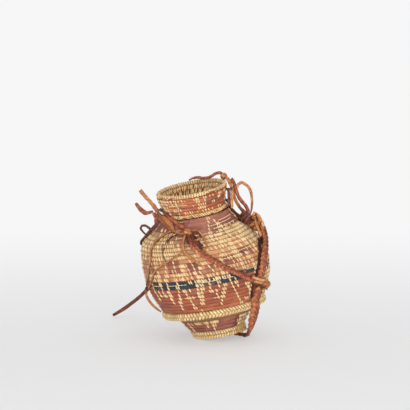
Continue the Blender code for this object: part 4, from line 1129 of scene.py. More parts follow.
SHOULDER_STRAWS = (
    (20, 21.30, 60, 21.75), (24, 20.35, 64, 20.80), (34, 22.2, 66, 22.6), (-22, 19.4, 18, 19.55),
    (2, 18.5, 34, 18.7), (-36, 23.5, -22, 23.52), (-30, 21.4, -24, 21.45), (26, 19.3, 48, 19.5),
    (24, 15.5, 62, 15.6), (26, 16.5, 60, 16.7), (22, 18.4, 54, 18.6), (-34, 15.5, -18, 15.5),
    (-10, 16.5, 22, 16.55), (-62, 16.4, -38, 16.4), (-62, 15.5, -36, 15.5), (16, 13.4, 56, 13.6),
    (-34, 10.5, -20, 10.5), (8, 12.5, 40, 12.6), (-60, 18.5, -38, 18.5), (5, 17.5, 58, 17.7),
    (92, 21.3, 150, 21.6), (-150, 20.5, -104, 20.5), (160, 22.5, 200, 22.6), (100, 12.5, 148, 12.6),
    (-160, 11.5, -120, 11.5), (-26, 4.5, -14, 4.5), (2, 3.5, 14, 3.5), (-52, 5.5, -44, 5.5),
)
BLUE_ROW_STRAWS = (
    (-60, 8.0, -48, 8.0), (-42, 8.0, -20, 8.0), (-6, 8.02, 9, 8.02), (14, 8.0, 24, 8.0), (38, 9.0, 56, 9.0),
)
# A painted shadow: a thin dark line on the left shoulder, where the shadow of a thong loop falls.
PAINTED_SHADOW_ARC = (
    (-14, 20.5, -31.8, 20.7), (-31.8, 20.7, -36.6, 18.9), (-36.6, 18.9, -37, 16.3), (-37, 16.3, -34.3, 14.2),
)
make_piece("belly_straws_and_shadow_arc", [
    running(belly, SHOULDER_STRAWS, 6), running(belly, BLUE_ROW_STRAWS, 7, 1.0),
    running(belly, PAINTED_SHADOW_ARC, 16, 0.8, PAINTED_SHADE),
], STRAW, "coil_straw")

# %% [markdown]
# The collar and the foot carry fewer stitches, made in the same way. Inside the collar the straw lies
# so close that it hides the coil, so whole rows of long stitches are laid on the wall's inner side,
# and a few rows more below the neck, as far down as one can look in.

# %% Stitches of the collar
collar_laid = []
for number, stops in enumerate((
    ((4.3, 5), (7, 4.4), (10.2, 2.9), (11.9, 1.1)), ((20.5, 5), (21.9, 3.8), (19, 2.6), (19.8, 0.8)),
    ((-37.6, 5), (-37.0, 3)), ((-28, 5), (-28.5, 3.4)), ((67.6, 5), (80, 2.8), (79.9, 1.3)),
    ((-52, 4), (-50, 1)), ((50, 5), (52, 3)), ((8, 5), (7, 3)), ((22.5, 3), (22, 0)), ((-64, 5), (-62, 0)),
)):
    collar_laid += chain(collar, stops, 300 + number, lean=-0.5, size=0.9)
for turn in np.arange(96, 290, 12.0):
    start = turn + around.uniform(-3, 3)
    collar_laid += chain(collar, ((start, 5), (start + around.uniform(-5, 5), 0)), int(turn * 3), lean=-0.5)
collar_laid += close_row(collar, 4, -180, 180, 0.0036, 0.5, 320, skip=0.62, size=0.9)
collar_laid += close_row(collar, 4, -70, -40, 0.0022, 0.4, 324, size=0.9)
collar_laid += close_row(collar, 1, -66, -22, 0.0024, 0.3, 321, skip=0.1, size=0.8)
collar_laid += close_row(collar, 0, -60, 60, 0.0032, 0.6, 322, skip=0.62, size=0.8)
collar_laid += close_row(collar, 2, -60, 60, 0.0032, 0.6, 323, skip=0.84, size=0.8)
make_piece("collar_stitches", [
    stitches(collar, collar_laid, 8),
    running(collar, ((-46, 3.0, -10, 3.05), (-62, 2.0, -26, 2.0), (4, 4.0, 24, 4.05)), 9),
], STRAW, "collar_weave")

# %% Stitches inside the collar and the neck
inside_laid = []
for row, reach in ((0, 2.0), (2, 1.7), (3.5, 1.5)):
    inside_laid += close_row(collar, row, -180, 180, 0.0027, 1.0, 340 + int(row), skip=0.04, size=1.15,
        shade=1.12, reach=reach)
neck_inside = []
for row in range(19, 24):
    neck_inside += close_row(belly, row, -180, 180, 0.0030, 0.6, 360 + row, skip=0.1, shade=0.9)
make_piece("inner_stitches", [
    stitches(collar, inside_laid, 10, side=-1, straw=WARM_STRAW),
    stitches(belly, neck_inside, 14, side=-1),
], STRAW, "collar_weave")

# %% Stitches of the foot
foot_laid = []
for number, stops in enumerate((
    ((-2.1, 2.2), (-5.3, 0.0)), ((-10, 3), (-2.1, 2.0)), ((5.7, 3), (-2.1, 2.0)), ((45, 3), (50, 0)),
    ((1.5, 3), (-4.5, 1)), ((-14, 3), (-16, 1)),
    ((52, 3), (46, 0)), ((57, 3), (60, 0)), ((-26, 3), (-34, 2)), ((-18, 3), (-12, 2)),
)):
    foot_laid += chain(foot, stops, 400 + number, lean=-0.4)
for turn in np.arange(70, 320, 24.0):
    foot_laid += chain(foot, ((turn, 3), (turn + around.uniform(-8, 8), 0)), int(turn * 5), lean=-0.6)
for row in range(3):
    foot_laid += close_row(foot, row, 42, 64, 0.0032, 0.5, 410 + row, skip=0.5, size=0.8)
foot_laid += close_row(foot, 2, -44, -16, 0.0034, 0.9, 415, skip=0.45, size=0.8, shade=0.9)
make_piece("foot_stitches", stitches(foot, foot_laid, 15), STRAW, "foot_weave")
print("stitches of collar, inside and foot", len(collar_laid), len(inside_laid + neck_inside), len(foot_laid))

# %% [markdown]
# At the right of the foot the end of a base coil has come loose and its straws stick out. Blender's
# hair could make them, but a few short strands drawn one by one can be aimed where the real ones
# point.

# %% Frayed straws where the base coil ends
fray = np.random.default_rng(77)
frayed = []
for number in range(30):
    turn, height = fray.uniform(40, 72), fray.uniform(0.010, 0.060)
    reach, drop = fray.uniform(0.03, 0.085), fray.uniform(-0.004, 0.028)
    stops = ((turn, height, 0.405), (turn + 1, height, 0.425 + reach * 0.5),
        (turn + fray.uniform(-4, 5), max(height - drop, 0.004), 0.425 + reach))
    line = ring(*trace(stops, 0.0012).T)
    points, faces, shades, lay = strand(line, np.broadcast_to((0.0, -0.7, 0.7), line.shape), 0.0009,
        0.0006, seed=500 + number, shade=fray.uniform(0.8, 1.1))
    frayed.append((points, faces, shades * GOLD_STRAW, lay))
make_piece("frayed_straws", frayed, STRAW, "coil_straw")

# %% [markdown]
# ## Straps and thongs
#
# The sling is made from two widths of hide. Flat thongs are cut straight from it; the broad straps
# are three strands plaited flat. A plait repeats a simple figure: every strand swings from side to
# side once while it rises and falls twice, and the three follow each other a third of a swing apart.

# %% Lines on the basket
def skin_line(route, lift, step=ROUTE_STEP):
    """A line that lies on the basket with its outward directions."""
    stops = trace(route, step)
    return skin(stops[:, 0], stops[:, 1], lift), skin_out(stops[:, 0], stops[:, 1])


def smooth_strip(line, ups, step):
    """A line and its outward directions, with stops added to both."""
    fine = smooth_points(np.concatenate([line, ups], axis=1), step)
    return fine[:, :3], fine[:, 3:]


def spread_out(values, places):
    """Values given at even steps of a line, read at places from 0 to 1."""
    return np.interp(places, np.linspace(0, 1, len(values)), values)


print("a middle value of 1 and 3 is", spread_out((1, 3), 0.5))

# %% A flat thong and a flat plait
def tapered(line, ends=(0.75, 0.75), reach=0.14):
    """A share of full width at each point: full in the middle, narrower at the ends."""
    part = walked(line) / walked(line)[-1]
    return np.interp(part, (0, reach, 1 - reach, 1), (ends[0], 1, 1, ends[1]))


def flat_thong(line, ups, width, thickness, seed, ends=(0.8, 0.8), turn=0.0, shade=1.0):
    """A flat thong; turn is how far it twists over its length, in degrees."""
    if turn:
        ups = twisted(line, ups, np.radians(turn) * walked(line) / walked(line)[-1])
    return strand(line, ups, width * tapered(line, ends), thickness * tapered(line, ends), seed=seed,
        rough=0.06, shade=shade)


def plait(line, ups, width, thickness, seed, swing=2.0, strands=3, spread=0.50, shades=(1.0, 1.0)):
    """Strands plaited flat on a line, ups pointing outwards; widths and shades run along it."""
    line, ups = smooth_strip(line, ups, 0.0010)
    ups = unit_length(ups)
    reach = walked(line)
    part = reach / reach[-1]
    width = spread_out(width, part)
    across = unit_length(np.cross(directions(line), ups))
    cycle = np.cumsum(np.gradient(reach) / (width * swing)) * math.tau
    shade = spread_out(shades, part)
    parts = []
    for k in range(strands):
        a = cycle + k * math.tau / strands
        side = np.sin(a) * width * (1 - spread) / 2 * 1.05
        rise = thickness / 2 + np.sin(2 * a) * thickness * 0.26
        path = line + across * side[:, None] + ups * rise[:, None]
        tilt = ups + across * (np.sin(a) * 0.35)[:, None]
        # Painted light and shade: each strand is lighter while it lies on one side of the plait and darker on
        # the other.
        parts.append(strand(path, tilt, width * spread, thickness * 0.52, seed=seed + k, rough=0.05,
            shade=shade * (1.0 + 0.38 * np.sin(a))))
    return parts


print("width shares along a thong", tapered(np.linspace((0, 0, 0), (0, 0, 1), 11)).round(2))

# %% [markdown]
# ## The left shoulder
#
# At the left shoulder a broad strap, folded along one edge, leads from the neck to the front knot.
# Its free end and a curled end stick up beside the neck. A strand that follows the skin would turn
# these ends edge on, so they are drawn with a width for each stop and with their face to the front.

# %% The wide strap
FLAT_THICKNESS = 0.0019
WIDE_WIDTH = 0.0092
WIDE_STEP = 0.0085
LIFT = 0.0005
free_stops = trace(((-66, 0.893, 0.612), (-61, 0.862, 0.602), (-54, 0.828, 0.580)), WIDE_STEP)
lying_line, lying_ups = skin_line(((-46, 0.806), (-40, 0.789), (-33.5, 0.770), (-29, 0.760)), LIFT,
    WIDE_STEP)
wide_line, wide_ups = smooth_strip(
    np.concatenate([ring(*free_stops.T), lying_line]),
    np.concatenate([skin_out(free_stops[:, 0], free_stops[:, 1]), lying_ups]), 0.0015)
wide_part = walked(wide_line) / walked(wide_line)[-1]
wide_width = WIDE_WIDTH * np.interp(wide_part, (0, 0.18, 0.45, 0.75, 1), (0.80, 1.22, 1.16, 0.84, 0.36))
wide_middle = wide_line + wide_ups * FLAT_THICKNESS / 2
wide_across = np.cross(directions(wide_middle), wide_ups)
folded_edge = wide_middle + wide_across * wide_width[:, None] * 0.30 + wide_ups * 0.0009
leather_piece("wide_shoulder_strap", [
    strand(wide_middle, wide_ups, wide_width, FLAT_THICKNESS, seed=40, rough=0.06,
        shade=np.interp(wide_part, (0, 0.3, 0.6, 1), (0.45, 0.78, 1.05, 0.95))),
    strand(folded_edge, wide_ups, wide_width * 0.36, 0.0014, seed=39, rough=0.10, shade=0.62),
    flat_thong(*skin_line(((-32, 0.768), (-27, 0.760), (-18.5, 0.750), (-12, 0.741)), 0.0010), 0.0028,
        0.0018, 38, shade=0.34),
], "tan", "wide_strap")

# %% Two ends with their face to the front
TOWARDS_VIEW = np.array((0.0, -1.0, 0.0))


def side_on(stops, widths, seed, turn, shades=(1.0, 1.0)):
    """A flat end of leather that shows its broad side to the front."""
    line = smooth_points(np.concatenate([ring(*np.array(stops).T), np.array(widths)[:, None]], axis=1),
        0.0012)
    part = np.linspace(0, 1, len(line))
    ups = np.broadcast_to(TOWARDS_VIEW, (len(line), 3))
    ups = twisted(line[:, :3], ups, np.radians(turn) * part)
    return strand(line[:, :3] + ups * FLAT_THICKNESS / 2, ups, line[:, 3], FLAT_THICKNESS, seed=seed,
        rough=0.08, shade=spread_out(shades, part))


leather_piece("upper_strap_end", side_on(
    ((-66.4, 0.897, 0.6135), (-68.5, 0.911, 0.627), (-74, 0.955, 0.677), (-78, 1.003, 0.754),
     (-79, 1.052, 0.827)),
    (0.0054, 0.0050, 0.0046, 0.0042, 0.0050), 41, 20, (0.45, 0.75, 0.95, 0.8, 0.75)),
    "tan", "upper_thong_end", body="upper_end")
leather_piece("curled_strap_end", side_on(
    ((-83, 0.892, 0.655), (-86, 0.886, 0.734), (-88, 0.895, 0.796), (-90, 0.928, 0.861),
     (-90, 0.961, 0.902)),
    (0.0030, 0.0044, 0.0056, 0.0052, 0.0034), 42, -25),
    "red", "curled_thong_end", body="curled_end")

# %% [markdown]
# ## All other thongs
#
# Apart from these the thongs are all of one make: a flat strip, and only route, width, colour and
# twist differ. A table with a line for each thong and one short loop make them all. Those that stand
# free need a radius at each stop; those that lie on the basket take theirs from its skin.

# %% Thongs that stand free
THICK_THONG, THONG, THIN_THONG = 0.0038, 0.0030, 0.0023


def free_line(route):
    """A line that stands free, its broad side to the front unless it goes round the neck."""
    line = ring(*trace(route).T)
    if route[-1][0] < -180:
        return line, carried_up(line, TOWARDS_VIEW)
    return line, np.broadcast_to(TOWARDS_VIEW + np.array((0.0, 0.0, 0.25)), line.shape)


# Name, node, colour, body, size, width and thickness as shares of it, twist, ends, route
FREE_THONGS = (
    ("curled_root", "curled_thong_root", "red", "basket", THONG, 1.5, 0.7, 40, (1.0, 0.8),
     ((-81.2, 0.883, 0.6455), (-79, 0.849, 0.636), (-78, 0.822, 0.655), (-75, 0.811, 0.664))),
    ("left_side_tie", "left_side_thong", "dark", "basket", THONG, 1.45, 0.8, 80, (1.0, 0.9),
     ((-65, 0.837, 0.625), (-67.5, 0.832, 0.631), (-74, 0.808, 0.660), (-84, 0.769, 0.728),
      (-90, 0.728, 0.796), (-96, 0.692, 0.878), (-99, 0.677, 0.902))),
    ("left_bow", "left_small_loop", "dark", "basket", THIN_THONG, 1.35, 0.7, 90, (0.9, 0.8),
     ((-84, 0.771, 0.735), (-82.5, 0.790, 0.772), (-83, 0.808, 0.825), (-83, 0.812, 0.876),
      (-83, 0.797, 0.902), (-84, 0.775, 0.872), (-86, 0.756, 0.832), (-88, 0.740, 0.793))),
    ("neck_wrap", "neck_tie", "dark", "basket", THONG, 1.05, 0.7, 0, (0.9, 0.9),
     ((-66.5, 0.8965, 0.550), (-95, 0.885, 0.531), (-125, 0.880, 0.528), (-160, 0.876, 0.528),
      (-195, 0.876, 0.528), (-230, 0.874, 0.528), (-258, 0.866, 0.536), (-274, 0.854, 0.553),
      (-284, 0.834, 0.580), (-287, 0.808, 0.625), (-287, 0.785, 0.690), (-285.5, 0.762, 0.755),
      (-285, 0.745, 0.800))),
    ("lacing_end", "lacing_tail", "tan", "basket", THIN_THONG, 1.30, 0.7, 20, (1.0, 0.5),
     ((-79, 0.392, 1.012), (-84, 0.380, 1.018), (-88, 0.366, 1.022), (-89, 0.341, 1.036),
      (-90, 0.307, 1.020), (-88, 0.271, 0.972), (-87, 0.240, 0.915), (-85.5, 0.212, 0.848))),
    ("rim_loose_end", "rim_thong", "red", "rim_end", THONG * 0.9, 1.35, 0.6, 40, (1.0, 0.5),
     ((110.8, 1.030, 0.552), (120, 1.040, 0.546), (131, 1.033, 0.526), (141, 1.015, 0.510),
      (154, 1.0085, 0.500), (167, 1.018, 0.490), (177, 1.016, 0.503), (184, 1.008, 0.508))),
    ("neck_drop_light", "neck_thong_light", "tan", "basket", THIN_THONG * 1.1, 1.55, 0.7, 50, (1.0, 0.9),
     ((101, 1.016, 0.570), (97, 1.003, 0.600), (93, 0.983, 0.612), (92, 0.960, 0.632),
      (92, 0.927, 0.651), (90, 0.881, 0.662), (87, 0.838, 0.684), (82, 0.806, 0.732),
      (78, 0.782, 0.785), (74, 0.762, 0.815))),
    ("neck_drop_dark", "neck_thong_dark", "red", "basket", THICK_THONG, 1.10, 0.7, -30, (1.25, 0.45),
     ((99, 1.000, 0.650), (99, 0.972, 0.686), (96, 0.929, 0.705), (94, 0.890, 0.721),
      (90, 0.850, 0.757), (85, 0.815, 0.810), (79, 0.782, 0.850), (75, 0.762, 0.860))),
    ("collar_hitch", "collar_band", "dark", "basket", THONG, 1.0, 0.8, 0, (1.0, 1.0),
     ((78, 0.957, 0.564), (80, 0.953, 0.610), (81, 0.948, 0.648))),
    ("collar_fall_left", "collar_drop_left", "dark", "basket", THIN_THONG, 1.5, 0.8, 30, (1.0, 0.8),
     ((79, 0.948, 0.590), (79, 0.925, 0.592), (78, 0.897, 0.586), (76, 0.862, 0.575), (74, 0.845, 0.570))),
    ("collar_fall_right", "collar_drop_right", "tan", "basket", THIN_THONG, 1.5, 0.8, -30, (1.0, 0.8),
     ((81, 0.945, 0.640), (81, 0.920, 0.640), (79, 0.887, 0.630), (75, 0.850, 0.615), (73, 0.828, 0.605))),
    ("shoulder_loop_thong", "tall_loop", "tan", "shoulder_loop", THIN_THONG, 1.55, 0.7, 80, (1.0, 0.9),
     ((94.7, 0.944, 0.7245), (94, 0.962, 0.750), (94, 0.969, 0.800), (92, 0.957, 0.854),
      (90, 0.930, 0.908), (88, 0.897, 0.933), (87, 0.859, 0.927), (85, 0.823, 0.906),
      (82, 0.795, 0.897), (79, 0.765, 0.884))),
)
for number, (name, node, colour, body, size, wide_share, thick_share, twist, ends, route) in enumerate(
        FREE_THONGS):
    leather_piece(name, flat_thong(*free_line(route), size * wide_share, size * thick_share, 50 + number,
        ends, twist), colour, node, body=body)

# %% Thongs that lie on the basket
# Name, node, colour, size, lifts, width and thickness as shares of the size, ends, route
SKIN_THONGS = (
    ("left_neck_cord", "left_neck_thong", "red", THICK_THONG, 2.0, 1.28, 0.7, (0.8, 1.0),
     ((-62, 0.894), (-49, 0.852), (-36, 0.823), (-23, 0.792), (-12, 0.764))),
    ("left_hanging_cord", "left_hanging_thong", "tan", THIN_THONG, 2.0, 1.05, 0.7, (1.0, 0.8),
     ((-14.5, 0.745), (-22, 0.752), (-34, 0.768), (-43, 0.752), (-50, 0.722), (-51, 0.680),
      (-54, 0.605), (-57, 0.558), (-61, 0.510), (-68, 0.468), (-75, 0.432), (-78, 0.406))),
    ("front_hanging_cord", "front_hanging_thong", "tan", THONG, 1.0, 1.05, 0.7, (1.0, 0.6),
     ((-11.5, 0.752), (-12.5, 0.730), (-12.5, 0.712), (-12.5, 0.689), (-13, 0.649), (-10, 0.613),
      (-6, 0.578), (-2, 0.539))),
    ("left_lace", "left_lacing", "tan", THIN_THONG, 1.0, 1.0, 0.7, (1.0, 0.9),
     ((-13.5, 0.648), (-24, 0.614), (-33, 0.588), (-42, 0.560), (-51, 0.522), (-57, 0.482),
      (-63, 0.444), (-70, 0.412), (-76, 0.396))),
    ("front_bow", "front_small_loop", "tan", THIN_THONG, 3.4, 0.95, 0.7, (1.0, 0.9),
     ((-6, 0.756), (-2, 0.755), (3, 0.746), (8, 0.720), (10.8, 0.685), (10, 0.655), (6.5, 0.633))),
    ("front_bow_bar", "front_cross_thong", "tan", THIN_THONG, 5.4, 1.25, 0.7, (0.8, 1.1),
     ((-4, 0.686), (1, 0.694), (6.5, 0.699))),
    ("girth_left", "girth_thong_left", "dark", THONG, 1.0, 1.1, 0.75, (1.0, 1.0),
     ((-100, 0.668), (-115, 0.652), (-135, 0.645), (-155, 0.643), (-180, 0.642))),
    ("girth_right", "girth_thong_right", "dark", THONG, 1.8, 1.1, 0.75, (1.0, 1.0),
     ((172, 0.643), (145, 0.652), (125, 0.664), (106, 0.684), (93, 0.700), (83, 0.712), (77, 0.716))),
    ("shoulder_strip", "shoulder_wrap", "dark", THONG, 1.0, 1.25, 0.7, (0.8, 1.0),
     ((88, 0.850), (87, 0.825), (85, 0.795), (82, 0.772), (77, 0.745), (75.5, 0.730))),
)
for number, (name, node, colour, size, lifts, wide_share, thick_share, ends, route) in enumerate(
        SKIN_THONGS):
    line, ups = skin_line(route, size * thick_share / 2 + lifts * LIFT)
    leather_piece(name, flat_thong(line, ups, size * wide_share, size * thick_share, 80 + number, ends),
        colour, node)

# %% [markdown]
# Beside the front knot lie ends too small for a solid of their own. They cross each other, and those
# under the knot are darkened as painted shade. Two thin dark strips to its left are a painted shadow,
# that of a thong loop standing off the belly. They need no node and are laid on the skin at different
# lifts, so that one covers the other.

# %% Thong ends and a painted shadow beside the front knot
# Width, lifts, shade, route
TANGLE_AND_PAINTED_SHADE = (
    # Shades well under 1 are painted shade under the knot.
    (0.0026, 3.0, 0.42, ((-9, 0.740), (-7, 0.712), (-2, 0.690), (3, 0.664), (5, 0.645))),
    (0.0016, 6.0, 0.75, ((-6, 0.742), (0, 0.740), (5, 0.724), (6, 0.704), (1, 0.694))),
    (0.0024, 3.4, 0.50, ((-10, 0.728), (-8, 0.700), (-4, 0.680), (1, 0.668), (7, 0.662))),
    (0.0015, 7.4, 0.95, ((-9, 0.732), (-6, 0.715), (-3, 0.697), (2, 0.690))),
    (0.0020, 2.6, 0.30, ((-4, 0.728), (1, 0.716), (4, 0.690), (5, 0.668))),
    # The last two strips are a painted shadow, cast by a thong loop that stands off the belly.
    (0.0013, 1.4, 0.22, ((-23, 0.748), (-28, 0.742), (-32, 0.730), (-32.5, 0.704))),
    (0.0009, 1.4, 0.30, ((-34, 0.682), (-35, 0.668), (-36.5, 0.644), (-36, 0.614), (-32.5, 0.586))),
)
tangle_and_shade_parts = []
for number, (width, lifts, shade, route) in enumerate(TANGLE_AND_PAINTED_SHADE):
    line, ups = skin_line(route, width * 0.35 + lifts * LIFT)
    tangle_and_shade_parts.append(flat_thong(line, ups, width, width * 0.7, 120 + number, (0.9, 0.8), shade=shade))
leather_piece("front_knot_ends_and_shadow", tangle_and_shade_parts, "dark")

# %% [markdown]
# ## The plaits
#
# One plait runs from the front knot down across the belly, the other hangs from the right shoulder,
# passes through the crossing knot, bends under the foot and climbs the back. The straps have been
# handled more than the thongs and have gone browner, so their shade is tinged.

# %% Plait the front strap
def tinged(parts, colour):
    """The same parts with their shade tinged by a colour."""
    return [(points, faces, shades * np.array(colour), lay) for points, faces, shades, lay in parts]


STRAP_THICKNESS = 0.0036
STRAP_WIDTH = 0.0095
PLAIT_STEP = 0.004
BRAID_ROUTE = (
    (-6, 0.735), (-3, 0.700), (-1.5, 0.660), (2, 0.622), (6.5, 0.584), (12, 0.541), (18, 0.494),
    (26, 0.448), (36, 0.397), (45, 0.360), (52, 0.332),
)
BRAID_WIDTHS = 0.0084 * np.linspace(1.0, 0.70, 12)
# The first values darken the plait where it leaves the front knot, painted shade under the knot; the rest set
# its tone.
BRAID_SHADE_AND_TONE = (0.26, 0.32, 0.42, 0.85) + (0.88,) * 8 + (0.95,) * 7
leather_piece("front_plait", tinged(plait(*skin_line(BRAID_ROUTE, 2.4 * LIFT, PLAIT_STEP), BRAID_WIDTHS,
    STRAP_THICKNESS, 60, swing=1.7, spread=0.46, shades=BRAID_SHADE_AND_TONE), (1.0, 1.02, 0.96)),
    "red", "front_braid")

# %% [markdown]
# The side strap hangs from the shoulder, first free and then on the belly, and one sees it from its
# edge. Its upper half is worn smooth. Nearly black strips lie behind its worn half, where it presses
# on the wall and to its left low on the belly: they are painted shadow. The worn face and the strips
# of painted shadow are single strands laid along the plait.

# %% Plait the side strap
def turned_to_front(line, ups, shares, width):
    """Rolls a strap's face some way towards the front and lifts it clear of what it hangs against."""
    shares = np.asarray(shares, float)[:, None]
    rolled = unit_length(ups * (1 - shares) + TOWARDS_VIEW * shares)
    tilt = np.sqrt(np.clip(1 - np.sum(rolled * ups, axis=1, keepdims=True) ** 2, 0, 1))
    return line + ups * tilt * width / 2 * 0.55, rolled


side_free = trace(((79, 0.700, 1.035), (77, 0.668, 1.060), (76, 0.640, 1.060), (75, 0.600, 1.050),
    (73, 0.560, 1.030), (68, 0.515, 1.005)), PLAIT_STEP)
laid_line, laid_ups = skin_line(((61.5, 0.474), (58, 0.427), (55, 0.385), (53, 0.330)), LIFT, PLAIT_STEP)
side_line = np.concatenate([ring(*side_free.T), laid_line])
side_ups = np.concatenate([skin_out(side_free[:, 0], np.full(len(side_free), 0.52)), laid_ups])
side_line, side_ups = turned_to_front(side_line, side_ups, np.full(len(side_line), 0.55), 0.0082)
side_parts = tinged(plait(side_line, side_ups, (0.0064, 0.0070, 0.0080, 0.0090, 0.0096, 0.0096), 0.0042,
    64, swing=1.8, shades=(0.55, 0.60, 0.90, 1.10, 1.10)), (1.12, 1.30, 1.26))
print("side plait of", len(side_parts), "strands")

# %% The worn upper half and three strips of painted shadow
WORN_HALF = (
    (80, 0.765, 0.955), (78, 0.740, 1.025), (77, 0.706, 1.085), (77, 0.664, 1.110), (77, 0.610, 1.082),
    (77, 0.556, 1.035), (75, 0.505, 0.985),
)
worn_line = ring(*trace(WORN_HALF, PLAIT_STEP).T)
worn_ups = np.broadcast_to(TOWARDS_VIEW * 0.85 + np.array((0.5, 0.0, 0.0)), worn_line.shape)
worn_shade = 0.8 + 0.2 * np.sin(np.linspace(0, 9, len(worn_line)))
under_worn = worn_line[:, 2] < worn_line[0, 2] - 0.010
painted_shadow_line = worn_line[under_worn] + np.array((-0.0040, 0.0030, 0.0))
side_parts += tinged([strand(worn_line, worn_ups, 0.0050, 0.0026, seed=66, rough=0.10,
    shade=worn_shade)], (1.0, 1.22, 1.30))
# Painted shadow: three nearly black strips, where the strap presses on the wall, behind its worn half and to
# its left low on the belly.
side_parts += [
    strand(*skin_line(((77, 0.590), (68, 0.552), (58, 0.492), (53, 0.430), (49.5, 0.382)), 0.0009),
        0.0060, 0.0012, seed=67, shade=0.10),
    strand(painted_shadow_line, worn_ups[under_worn], 0.0064, 0.0014, seed=68, shade=0.12),
    strand(*skin_line(((46, 0.340), (45.2, 0.310), (45, 0.280), (45.5, 0.246)), 0.0008),
        0.0040, 0.0012, seed=69, shade=0.12),
]
leather_piece("side_plait", side_parts, "red", "side_strap_upper")

# %% [markdown]
# The carrying strap passes over the belly ring, under the foot and up the back. Its stops are given in
# the way that suits each stretch: on the skin, round the ring, or over the table where it carries the
# foot. A cloth run could find the bends by itself, but a strap pulled tight has no slack to fall.

# %% The carrying strap's stops, down and under the foot and up the back
def on_table(x_share, y_share, height):
    """A point over the table, before the basket was moved to the middle of the picture."""
    return np.array((x_share * BELLY_RADIUS + FRAME_SHIFT[0], y_share * BELLY_RADIUS + FRAME_SHIFT[1],
        height))


DOWN, AWAY, BACK = np.array((0.0, 0.0, -1.0)), np.array((1.0, 0.0, 0.0)), np.array((0.0, 1.0, 0.0))
RING_OUTSIDE = (RING_RADIUS + RING_HALF + LIFT) / BELLY_RADIUS
T = STRAP_THICKNESS
under = [(skin(*stop, LIFT), skin_out(*stop)) for stop in (
    (54, 0.302), (53, 0.265), (52, 0.246), (51, 0.226),
)]
under += [(ring(*stop), ring(*stop) - ring(0, 0.16, 0.0)) for stop in (
    (50, 0.200, RING_OUTSIDE), (49.5, 0.176, RING_OUTSIDE), (49.5, 0.140, 0.800),
    (52, 0.095, 0.715), (57, 0.050, 0.630),
)]
under += [(on_table(*stop), up) for *stop, up in (
    (0.462, -0.150, 2.7 * T, AWAY + DOWN * 0.8), (0.440, -0.060, 1.45 * T, AWAY * 0.5 + DOWN),
    (0.415, 0.020, T, DOWN), (0.300, 0.110, T, DOWN), (0.180, 0.225, T, DOWN),
    (0.090, 0.370, 1.34 * T, DOWN), (0.030, 0.530, 1.42 * T, DOWN),
    (0.000, 0.640, 2.0 * T, DOWN + BACK * 0.45), (-0.020, 0.735, 3.2 * T, DOWN * 0.7 + BACK),
)]
under += [(ring(*stop), BACK) for stop in ((179, 0.158, RING_OUTSIDE - 0.012), (179, 0.194, RING_OUTSIDE))]
under += [(skin(*stop, LIFT), skin_out(*stop)) for stop in (
    (178.5, 0.232), (178, 0.290), (177.5, 0.360), (177, 0.440), (176.5, 0.520), (176, 0.615),
)]
under_line, under_ups = (np.array(column) for column in zip(*under))
print("stops of the carrying strap", len(under_line))

# %% Plait the carrying strap
FACE_TO_FRONT = [0.7] * 7 + [0.68, 0.4] + [0.0] * 17
CARRYING_WIDTHS = STRAP_WIDTH * np.array((1.0, 1.14, 1.20, 1.10) + (1.0,) * 8)
under_line, under_ups = turned_to_front(under_line, unit_length(under_ups), FACE_TO_FRONT, STRAP_WIDTH)
carrying_parts = tinged(plait(*smooth_strip(under_line, under_ups, 0.0015), CARRYING_WIDTHS,
    STRAP_THICKNESS, 70, swing=1.9), (1.16, 1.34, 1.30))
for points, _, _, _ in carrying_parts:
    points[:, 2] = np.maximum(points[:, 2], ON_TABLE)
leather_piece("carrying_plait", carrying_parts, "red", "carrying_strap")

# %% [markdown]
# ## Knots
#
# A knot is a thong wound over itself. Each one here has a rounded core and several bands of hide
# laid round it at different tilts, so light and shade fall between the bands as in a real knot. The
# bands are closed loops round a squashed ball; tying a rope in code would give the same look for
# far more work.

# %% The core and the bands of a knot
KNOT = 0.0130
# The core is darkened to half: painted shade where it shows between the bands.
CORE_SHADE = np.array((0.5, 0.5, 0.5))


def knot_frame(turn, height_share, roll):
    """Three directions at a knot: along its width, along its height, and outwards."""
    out = skin_out(turn, height_share)
    side = unit_length(np.cross((0.0, 0.0, 1.0), out))
    up = np.cross(out, side)
    c, s = math.cos(math.radians(roll)), math.sin(math.radians(roll))
    return np.stack([side * c + up * s, up * c - side * s, out])


def ball_parcel(centre, axes, half, seed, lumps=0.06):
    """A slightly lumpy squashed ball."""
    draw = np.random.default_rng(seed)
    a = draw.uniform(0, 6.28, 4)
    rows, columns = 14, 20
    tilt = np.linspace(0.02, math.pi - 0.02, rows)[:, None]
    turn = np.linspace(0, math.tau, columns, endpoint=False)[None, :]
    unit = np.stack([np.sin(tilt) * np.cos(turn), np.sin(tilt) * np.sin(turn),
        np.cos(tilt) * np.ones_like(turn)], axis=-1)
    swell = 1 + lumps * (np.sin(unit[..., 0] * 5 + a[0]) + np.sin(unit[..., 1] * 6 + a[1])
        + np.sin(unit[..., 2] * 5 + a[2])) / 2
    points = centre + (unit * swell[..., None] * half) @ axes
    return parcel(points, tube_faces(1, rows, columns), CORE_SHADE, unit * half + draw.uniform(0, 3))


def band_parcel(centre, axes, half, facing, offset, width, thickness, seed):
    """A band of hide laid round the squashed ball; facing is the direction its loop looks."""
    facing = unit_length(np.array(facing, float))
    first = unit_length(np.cross(facing, (0.31, 0.57, 0.76)))
    second = np.cross(facing, first)
    angle = np.linspace(0, math.tau, 44, endpoint=False)[:, None]
    radius = math.sqrt(1 - offset ** 2)
    unit = (first * np.cos(angle) + second * np.sin(angle)) * radius + facing * offset
    wander = 1 + 0.03 * np.sin(angle * 3 + seed)
    line = centre + (unit * half * wander) @ axes
    ups = (unit / half) @ axes
    return strand(line, ups, width, thickness, closed=True, seed=seed, rough=0.05)


print("knots are measured in", KNOT * 1000, "mm")

# %% Tie a knot
BAND_THICKNESS = 0.0016


